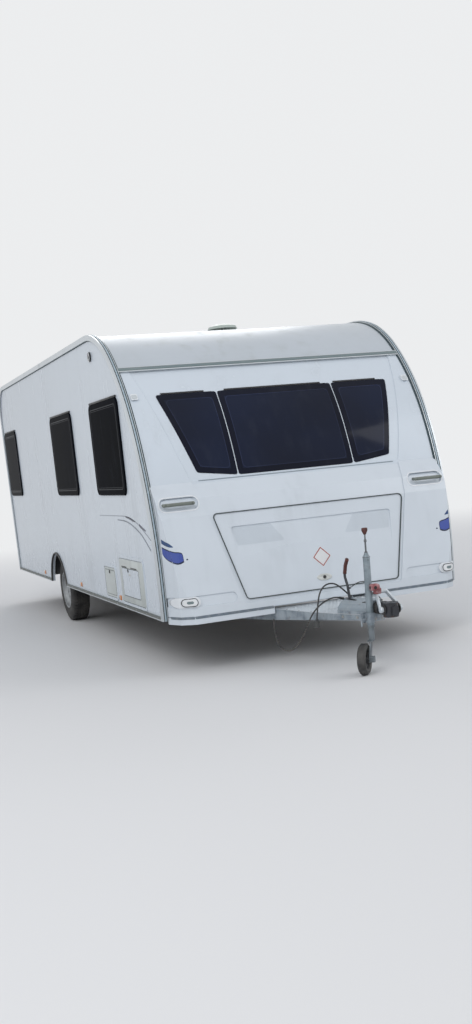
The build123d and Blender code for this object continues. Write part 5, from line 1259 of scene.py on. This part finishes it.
beam_zinc = galvanised("beam_zinc", (0.36, 0.41, 0.45), (0.16, 0.195, 0.23), 0.25, 0.4)
dark_zinc = galvanised("dark_zinc", (0.17, 0.18, 0.19), (0.085, 0.09, 0.10), 0.6, 0.5)
black_steel = galvanised("black_steel", (0.030, 0.033, 0.038), (0.016, 0.017, 0.020), 0.35, 0.3)
bolt_zinc = galvanised("bolt_zinc", (0.46, 0.47, 0.47), (0.24, 0.24, 0.23), 0.7, 0.8)
# The corner steadies: side, how far back the hinge is, and the way the screw points from it
STEADIES = {"front_offside": (OFFSIDE, 1.150, -1), "front_nearside": (NEARSIDE, 1.150, -1),
            "rear_offside": (OFFSIDE, 5.150, 1), "rear_nearside": (NEARSIDE, 5.150, 1)}
dress(beam_zinc, "chassis_rails", "drawbar", "steady_brackets",
      *[f"steady_{name}" for name in STEADIES])
dress(black_steel, "axle_tube")
dress(dark_zinc, "suspension_arms")


def bolt(shape, head, away, radius):
    """Adds a hexagon head on its washer, standing away from a face."""
    place = aimed(head, Vector(head) + Vector(away))
    turned(shape, [(-0.001, 0.0), (-0.001, radius * 1.35), (0.0016, radius * 1.35), (0.0020, 0.0)],
           place, steps=14)
    turned(shape, [(0.0015, 0.0), (0.0015, radius), (radius * 0.62, radius),
                   (radius * 0.74, radius * 0.84), (radius * 0.76, 0.0)], place, steps=6)


shape = bmesh.new()
for side in SIDES:
    for back in (3.530, 3.590, 3.690, 3.750):
        for x, away in ((0.633, 1), (0.567, -1)):
            bolt(shape, at(side * x, back, 0.410), (side * away, 0, 0), 0.011)
    for back in (0.455, 0.560):
        bolt(shape, at(side * 0.6255, back, 0.376), (side, 0, 0), 0.011)
    for back in (1.150, 5.150):
        for x in (-0.030, 0.030):
            bolt(shape, at(side * 0.800 + x, back - 0.0455, 0.445), (0, -1, 0), 0.007)
    for x in (0.150, 0.420):
        for back in (1.2295, 5.6795):
            bolt(shape, at(side * x, back, 0.405), (0, -1, 0), 0.009)
finished("chassis_bolts", shape, bolt_zinc)
SCREW_END, THREAD_CREST, THREAD_ROOT = 0.336, 0.0090, 0.0072
thread = [(0.0, 0.0), (0.0, THREAD_CREST)]
for ridge in range(36):
    thread += [(0.004 + ridge * 0.009, THREAD_ROOT), (0.0085 + ridge * 0.009, THREAD_CREST)]
thread += [(SCREW_END, THREAD_ROOT), (SCREW_END, 0.0)]
for name, (side, hinge, way) in STEADIES.items():
    shape = bmesh.new()
    place = facing((0, way, 0), side * 0.8, hinge + way * 0.055, 0.397)
    turned(shape, thread, place, steps=10)
    turned(shape, [(SCREW_END, 0.0), (SCREW_END, 0.0135), (SCREW_END + 0.024, 0.0135),
                   (SCREW_END + 0.024, 0.0)], place, steps=6)
    finished(f"steady_screw_{name}", shape, bolt_zinc, f"steady_{name}")

# Step plate over the drawbar: bright pressed aluminium with raised lozenges in crossed rows,
# riveted along both beams.
tread_bright = weathered("tread_bright", (0.66, 0.70, 0.73), (0.34, 0.37, 0.38), 0.75, (0.30, 0.55),
                         (90.0, 0.0004), 0.3, Metallic=0.55)
dress(tread_bright, "step_plate")


def beam_edge(back):
    """How far a drawbar beam's outer face lies from the middle."""
    return 0.068 + (back + 1.0) * 0.4297


def plate_place(x, back):
    """A placing matrix on the step plate's sloping top."""
    drop = (-0.200 - back) / 0.340
    return (Matrix.Translation(at(x, back, 0.4065 - 0.0120 * max(0.0, min(1.0, drop))))
            @ Matrix.Rotation(0.0353 if back < -0.200 else 0.0, 4, "X"))


shape = bmesh.new()
for row in range(17):
    back = -0.172 - row * 0.0285
    count = int((beam_edge(back) - 0.026) / 0.0145)
    for column in range(-count, count + 1):
        if (row + column) % 2 == 0:
            turned(shape, [(-0.0005, 0.0130), (0.0008, 0.0110), (0.0015, 0.0070), (0.0015, 0.0)],
                   plate_place(column * 0.0145, back)
                   @ Matrix.Rotation(radians(38 if row % 2 else -38), 4, "Z")
                   @ Matrix.Diagonal((0.36, 1, 1, 1)), steps=6)
finished("step_treads", shape, tread_bright)
shape = bmesh.new()
for side in SIDES:
    for back in (-0.180, -0.290, -0.400, -0.510):
        turned(shape, [(-0.0005, 0.0065), (0.0008, 0.0062), (0.0022, 0.0040), (0.0026, 0.0)],
               plate_place(side * (beam_edge(back) - 0.013), back), steps=12)
finished("step_rivets", shape, bolt_zinc)

# Overrun device at the drawbar's tip: cast base under a grey plastic cover, the handbrake lever
# out of its slot, black bellows, and the coupling head with its stabiliser pads and handle.
cover_plastic = grained("cover_plastic", (0.27, 0.32, 0.36), (0.38, 0.42, 0.45), wear=0.7,
                        dust=0.3, scale=600.0)
dress(cover_plastic, "housing_cover")
dress(beam_zinc, "overrun_housing")
dress(black_rubber, "bellows", "friction_pads")
head_steel = galvanised("head_steel", (0.040, 0.043, 0.050), (0.020, 0.022, 0.026), 0.4, 0.3)
dress(head_steel, "coupling_head")
shape = bmesh.new()
band(shape, rectangle(-0.026, 0.006, -0.722, -0.588), 0.0158, 0, 0.0050, 10)
turned(shape, [(0.4600, 0.0215), (0.4632, 0.0210), (0.4632, 0.0165), (0.4600, 0.0160)],
       Matrix.Translation(at(-0.012, -0.868, 0)), steps=28, closed=True)
flat = [vertex for vertex in shape.verts if abs(vertex.co.z) > 0.55]
for vertex in flat:
    vertex.co = at(vertex.co.x, vertex.co.z, 0.4634)
drawn(shape, [face for face in shape.faces if all(vertex in flat for vertex in face.verts)],
      (0, 0, -0.004), use_keep_orig=True)
finished("cover_lips", shape, black_rubber)
shape = bmesh.new()
for x, back in ((-0.078, -0.915), (0.052, -0.915), (-0.082, -0.760), (0.082, -0.760),
                (0.045, -0.620)):
    turned(shape, [(0.4600, 0.0), (0.4600, 0.0070), (0.4622, 0.0066), (0.4634, 0.0045),
                   (0.4634, 0.0)], Matrix.Translation(at(x, back, 0)), steps=14)
for x, height in ((-0.018, 0.361), (0.036, 0.361), (0.036, 0.391)):
    bolt(shape, at(x, -1.0222, height), (0, -1, 0), 0.0085)
for x in (-0.043, 0.043):
    bolt(shape, at(x, -1.0122, 0.4755), (0, -1, 0), 0.0060)
for side in SIDES:
    for back in (-0.800, -0.920):
        bolt(shape, at(side * (beam_edge(back) + 0.002), back, 0.372), (side, -0.43, 0), 0.0085)
finished("overrun_bolts", shape, bolt_zinc)
shape = bmesh.new()
for back, radius in ((-1.028, 0.0372), (-1.0875, 0.0352)):
    turned(shape, [(-0.004, radius), (-0.004, radius + 0.0022), (0.004, radius + 0.0022),
                   (0.004, radius)], facing((0, -1, 0), 0, back, 0.440), steps=32, closed=True)
finished("bellows_clips", shape, black_steel)

handle_silver = galvanised("handle_silver", (0.62, 0.67, 0.71), (0.38, 0.42, 0.45), 0.15, 0.5)
faded_red = grained("faded_red", (0.27, 0.085, 0.090), (0.46, 0.27, 0.28), wear=1.0, dust=0.2,
                    scale=500.0)
# Near-black for the holes in the coupling cap: painted shade
cap_hole_shade = grained("cap_hole_shade", (0.010, 0.010, 0.011), (0.03, 0.03, 0.03), dust=0.1)
BALL_BACK, PAD_HEIGHT = -1.215, 0.448
shape = bmesh.new()
for side in SIDES:
    foot, top = at(side * 0.075, BALL_BACK, PAD_HEIGHT), at(side * 0.038, -1.088, 0.556)
    along = (top - foot).normalized()
    level_way = (Vector((1, 0, 0)) - along * along.x).normalized()
    arm = Matrix((level_way, along.cross(level_way), along)).transposed().to_4x4()
    arm.translation = foot
    block(shape, (-0.0075, -0.0150, 0.0), (0.0075, 0.0150, (top - foot).length), 0.0048, arm, 3)
    block(shape, (side * 0.0070 - 0.0016, -0.0070, 0.026),
          (side * 0.0070 + 0.0016, 0.0070, (top - foot).length - 0.028), 0.0014, arm)
    turned(shape, [(0.0, 0.0), (0.0, 0.0190), (0.002, 0.0210), (0.0175, 0.0210),
                   (0.0200, 0.0190), (0.0200, 0.0140), (0.0185, 0.0125), (0.0185, 0.0090),
                   (0.0220, 0.0080), (0.0220, 0.0)],
           facing((side, 0, 0), side * 0.060, BALL_BACK, PAD_HEIGHT), steps=32)
block(shape, (-0.048, -1.104, 0.542), (0.048, -1.074, 0.568), 0.0075, segments=3)
handle = finished("coupling_frame", shape, handle_silver)
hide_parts("coupling_handle")
shape = bmesh.new()
block(shape, (-0.0920, -1.1490, 0.5680), (-0.0280, -1.0900, 0.6160), 0.0180, segments=4)
block(shape, (-0.0620, -1.1280, 0.5430), (-0.0120, -1.0900, 0.5850), 0.0080, segments=3)
finished("coupling_cap", shape, faded_red)
# Near-black discs on the cap: painted shade in its two holes
shape = bmesh.new()
for place in (facing((-1, 0, 0), -0.092, -1.119, 0.592), facing((0, -1, 0), -0.068, -1.149, 0.592)):
    turned(shape, [(-0.002, 0.0), (-0.002, 0.011), (0.0006, 0.011), (0.0006, 0.0)], place)
finished("coupling_cap_hole_shade", shape, cap_hole_shade)


# Handbrake lever: its painted bar turns into a faded moulded grip, with a ratchet button at the end
def opened(material):
    """The node tree, the shader and the group of a coated finish, for one that needs more."""
    tree = material.node_tree
    return tree, tree.nodes["Principled BSDF"], tree.nodes["Group"]


def gripped(material, foot, head, mottling, faded, dark):
    """Turns a coated finish into faded plastic above a height."""
    tree, shader, skin = opened(material)
    mottled = between(tree, noise(tree, mottling[0], 5.0), 0.35, mottling[1])
    feed(tree, mixed(tree, between(tree, height_of(tree), foot, head), skin.outputs["Colour"],
                     mixed(tree, mottled, faded, dark)), shader.inputs["Base Color"])


lever_steel = grained("lever_steel", (0.022, 0.026, 0.032), (0.10, 0.105, 0.11), 0.8, 0.1, 300.0)
gripped(lever_steel, 0.6405, 0.6435, (60.0, 0.70), (0.115, 0.030, 0.022, 1),
        (0.060, 0.018, 0.015, 1))
dress(lever_steel, "handbrake_lever")
shape = bmesh.new()
turned(shape, [(-0.004, 0.0), (-0.004, 0.0045), (0.0035, 0.0045), (0.0045, 0.0035), (0.0045, 0.0)],
       aimed(at(-0.010, -0.6290, 0.7480), at(-0.010, -0.6610, 0.7920)), steps=16)
finished("lever_button", shape, black_rubber)

# Jockey leg: galvanised tubes in a screw clamp, a thin cranked handle with a faded grip, and a
# one-sided fork that carries a solid rubber wheel on a spoked plastic hub.
tube_zinc = galvanised("tube_zinc", (0.29, 0.345, 0.38), (0.115, 0.145, 0.165), 0.25, 0.4)
dress(tube_zinc, "jockey_outer_tube")
dress(beam_zinc, "jockey_clamp")
tube_bright = galvanised("tube_bright", (0.20, 0.23, 0.25), (0.10, 0.115, 0.13), 0.35, 0.5)
dress(tube_bright, "jockey_inner_tube", "jockey_fork")
crank_steel = galvanised("crank_steel", (0.16, 0.17, 0.18), (0.07, 0.075, 0.08), 0.6, 0.0)
gripped(crank_steel, 0.9375, 0.9385, (45.0, 0.68), (0.105, 0.030, 0.024, 1),
        (0.048, 0.018, 0.016, 1))
LEG_X, LEG_BACK = -0.076, -1.060
leg = Matrix.Translation(at(LEG_X, LEG_BACK, 0))
# The crank is turned a little on its rod and has a flared grip on a thin neck
shape = bmesh.new()
crank = leg @ Matrix.Rotation(radians(-27), 4, "Z")
turned(shape, [(0.815, 0.0), (0.815, 0.0110), (0.828, 0.0110), (0.832, 0.0060), (0.894, 0.0060),
               (0.894, 0.0095), (0.906, 0.0095), (0.9075, 0.0080), (0.9075, 0.0)], crank)
block(shape, (-0.0070, -0.002, 0.8955), (0.0070, 0.062, 0.9045), 0.0030, crank, 3)
turned(shape, [(0.894, 0.0), (0.894, 0.0085), (0.906, 0.0085), (0.908, 0.0048), (0.938, 0.0048),
               (0.940, 0.0095), (0.946, 0.0115), (0.960, 0.0185), (0.967, 0.0205),
               (0.976, 0.0210), (0.9815, 0.0195), (0.9840, 0.0160), (0.9845, 0.0)],
       crank @ Matrix.Translation((0, 0.058, 0)), steps=28)
handle = finished("crank_handle", shape, crank_steel)
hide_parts("jockey_crank")
shape = bmesh.new()
turned(shape, [(0.790, 0.0250), (0.7935, 0.0262), (0.7965, 0.0250), (0.7965, 0.0235),
               (0.790, 0.0235)], leg, closed=True)
turned(shape, [(0.318, 0.0235), (0.318, 0.0262), (0.330, 0.0262), (0.333, 0.0242), (0.333, 0.0235)],
       leg, steps=32, closed=True)
for way in (-1, 1):
    bolt(shape, at(LEG_X, LEG_BACK + way * 0.0242, 0.775), (0, way, 0), 0.0042)
finished("leg_collars", shape, tube_bright)
# The hub of the jockey wheel and the way its axle points, as the castor stands at rest
hub_at = Vector((-0.1494, -3.5554, 0.108))
axle_way = Vector((0.7513, -0.66, 0)).normalized()
wheel_rubber = grained("wheel_rubber", (0.014, 0.014, 0.015), (0.055, 0.055, 0.058), 0.7, 0.2,
                       500.0)
tree, shader, skin = opened(wheel_rubber)
place = add_node(tree, "VectorMath", {0: own_place(tree), 1: hub_at},
                 operation="SUBTRACT").outputs[0]
reach = add_node(tree, "VectorMath", {0: place}, operation="LENGTH").outputs["Value"]
rubbery = between(tree, reach, 0.070, 0.074)
feed(tree, mixed(tree, rubbery, (0.035, 0.037, 0.041, 1), skin.outputs["Colour"]),
     shader.inputs["Base Color"])
dress(wheel_rubber, "jockey_wheel")
shape = bmesh.new()
for side in SIDES:
    place = aimed(hub_at, hub_at + axle_way * side)
    for turn in spaced(place, 5, 0.5):
        block(shape, (0.024, -0.0035, 0.0040), (0.066, 0.0035, 0.0145), 0.0016, turn)
    turned(shape, [(0.0260, 0.0090), (0.0300, 0.0110), (0.0300, 0.0175), (0.0260, 0.0195)], place,
           closed=True)
finished("jockey_spokes", shape, black_plastic_and_slot_shade, "jockey_roller")
shape = bmesh.new()
bolt(shape, hub_at + axle_way * 0.0308, axle_way, 0.0075)
finished("jockey_axle_nut", shape, bolt_zinc, "jockey_castor")
# The plug that hangs on the supply lead
plug_grey = grained("plug_grey", (0.020, 0.028, 0.036), (0.06, 0.07, 0.08), wear=0.6)
dress(plug_grey, "supply_plug")
plug_top, before = at(*SUPPLY_ROUTE[-1]), at(*SUPPLY_ROUTE[-2])
place = aimed(plug_top, plug_top * 2 - before)
shape = bmesh.new()
for turn in spaced(place, 12):
    block(shape, (0.0175, -0.0018, 0.020), (0.0205, 0.0018, 0.046), 0.0010, turn)
turned(shape, [(0.050, 0.0185), (0.050, 0.0212), (0.056, 0.0212), (0.0575, 0.0200),
               (0.0575, 0.0185)], place, closed=True)
finished("plug_ribs", shape, plug_grey)

# Wheels: pressed steel rims in silver paint with five bolts, a dust cap and a valve, and road
# tyres with straight grooves between rows of tread blocks.
rim_silver = galvanised("rim_silver", (0.40, 0.42, 0.43), (0.27, 0.28, 0.29), 0.12, 0.6)
dress(rim_silver, "rim_offside", "rim_nearside")
tyre_black = grained("tyre_black", (0.014, 0.014, 0.015), (0.040, 0.040, 0.040), 0.6, 0.28, 420.0)
tree, shader, skin = opened(tyre_black)
feed(tree, worked(tree, "ADD", skin.outputs["Roughness"], 0.2, clamp=True),
     shader.inputs["Roughness"])
WHEEL_CENTRE, BOLT_CIRCLE = 1.068, 0.056
# Half of the tyre's section, from its middle outwards and down to the bead: across, radius and
# how far the point sinks in the cuts between the blocks
HALF_TREAD = [(0.0, 0.325, 0.0), (0.0105, 0.325, 0.0), (0.0112, 0.3175, 0.0), (0.0168, 0.3175, 0.0),
              (0.0175, 0.325, 0.0060), (0.0365, 0.325, 0.0060), (0.0372, 0.3175, 0.0),
              (0.0428, 0.3175, 0.0), (0.0435, 0.325, 0.0060), (0.0620, 0.3245, 0.0060),
              (0.0735, 0.3185, 0.0060), (0.0815, 0.3100, 0.0045), (0.0870, 0.2950, 0.0),
              (0.0910, 0.2800, 0.0), (0.0928, 0.2680, 0.0), (0.0918, 0.2665, 0.0),
              (0.0918, 0.2590, 0.0), (0.0928, 0.2575, 0.0), (0.0926, 0.2450, 0.0),
              (0.0895, 0.2250, 0.0), (0.0850, 0.2080, 0.0), (0.0835, 0.2030, 0.0),
              (0.0845, 0.1970, 0.0), (0.0838, 0.1900, 0.0), (0.0822, 0.1830, 0.0),
              (0.0700, 0.1830, 0.0), (0.0720, 0.2200, 0.0), (0.0780, 0.2600, 0.0),
              (0.0680, 0.3000, 0.0), (0.0300, 0.3080, 0.0)]
TREAD = HALF_TREAD + [(-across, radius, sink) for across, radius, sink in HALF_TREAD[:0:-1]]
# How many blocks go round, where a block and the cut after it begin and end as shares of their
# length, and how the cuts slant across the middle rows
BLOCKS, CUTS = 54, (0.0, 0.79, 0.80, 0.99)
TREAD_SKEW, SKEW_REACH = 1.4, 0.044
for name, side in (("offside", OFFSIDE), ("nearside", NEARSIDE)):
    shape = bmesh.new()
    rings = []
    for number in range(BLOCKS * 4):
        cut = number % 4 >= 2
        share = (number // 4 + CUTS[number % 4]) / BLOCKS
        rings.append([])
        for out, radius, sink in TREAD:
            turn = 2 * pi * (share + (0.5 / BLOCKS if out > 0.03 else 0.0))
            turn += TREAD_SKEW * max(-SKEW_REACH, min(SKEW_REACH, out))
            depth = radius - (sink if cut else 0.0)
            rings[-1].append(shape.verts.new(at(
                side * (WHEEL_CENTRE + out), AXLE_BACK + depth * cos(turn),
                AXLE_HEIGHT + depth * sin(turn))))
    for ring, following in zip(rings, rings[1:] + rings[:1]):
        for corner in range(len(TREAD)):
            after = (corner + 1) % len(TREAD)
            shape.faces.new((ring[corner], ring[after], following[after], following[corner]))
    tyre = finished(f"road_tyre_{name}", shape, tyre_black, f"wheel_{name}", 30)
    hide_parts(f"tyre_{name}")
    shape, cap, valve = bmesh.new(), bmesh.new(), bmesh.new()
    face = facing((side, 0, 0), side * (WHEEL_CENTRE + 0.034), AXLE_BACK, AXLE_HEIGHT)
    for turn in spaced(face @ Matrix.Rotation(0.3, 4, "Z"), 5):
        bolt(shape, turn @ Vector((BOLT_CIRCLE, 0, 0)), (side, 0, 0), 0.0095)
    turned(cap, [(-0.006, 0.0), (-0.006, 0.0300), (0.010, 0.0300), (0.013, 0.0285),
                 (0.022, 0.0260), (0.026, 0.0200), (0.0275, 0.0)], face, steps=32)
    turned(valve, [(-0.010, 0.0), (-0.010, 0.0058), (0.012, 0.0045), (0.016, 0.0036),
                   (0.030, 0.0036), (0.030, 0.0046), (0.038, 0.0046), (0.040, 0.0030),
                   (0.040, 0.0)], face @ Matrix.Rotation(1.1, 4, "Z")
           @ Matrix.Translation((0.148, 0, 0)), steps=12)
    finished(f"wheel_bolts_{name}", shape, bolt_zinc, f"wheel_{name}")
    finished(f"dust_cap_{name}", cap, rim_silver, f"wheel_{name}")
    finished(f"valve_{name}", valve, black_rubber, f"wheel_{name}")

# Floor of plywood under thin dark paint, with wheel boxes and a locker tub of dark plastic
ply, tree, shader = new_finish("ply_sealed")
rings = noise(tree, 14.0, 6.0, (1, 0.06, 1))
stained = between(tree, noise(tree, 2.5, 5.0), 0.32, 0.7)
board = mixed(tree, between(tree, rings, 0.35, 0.65), (0.165, 0.120, 0.080, 1),
              (0.115, 0.082, 0.054, 1))
feed(tree, mixed(tree, worked(tree, "MULTIPLY", stained, 0.7), board, (0.060, 0.052, 0.044, 1)),
     shader.inputs["Base Color"])
feed(tree, between(tree, stained, 0.0, 1.0, 0.60, 0.85), shader.inputs["Roughness"])
raise_by(tree, shader, rings, 0.0004)
dress(ply, "floor_panel")
tub_plastic = grained("tub_plastic", (0.055, 0.058, 0.062), (0.11, 0.11, 0.11), wear=0.5, dust=0.4)
dress(tub_plastic, "wheel_boxes", "locker_tub")

bpy.context.scene.view_settings.view_transform = "Standard"
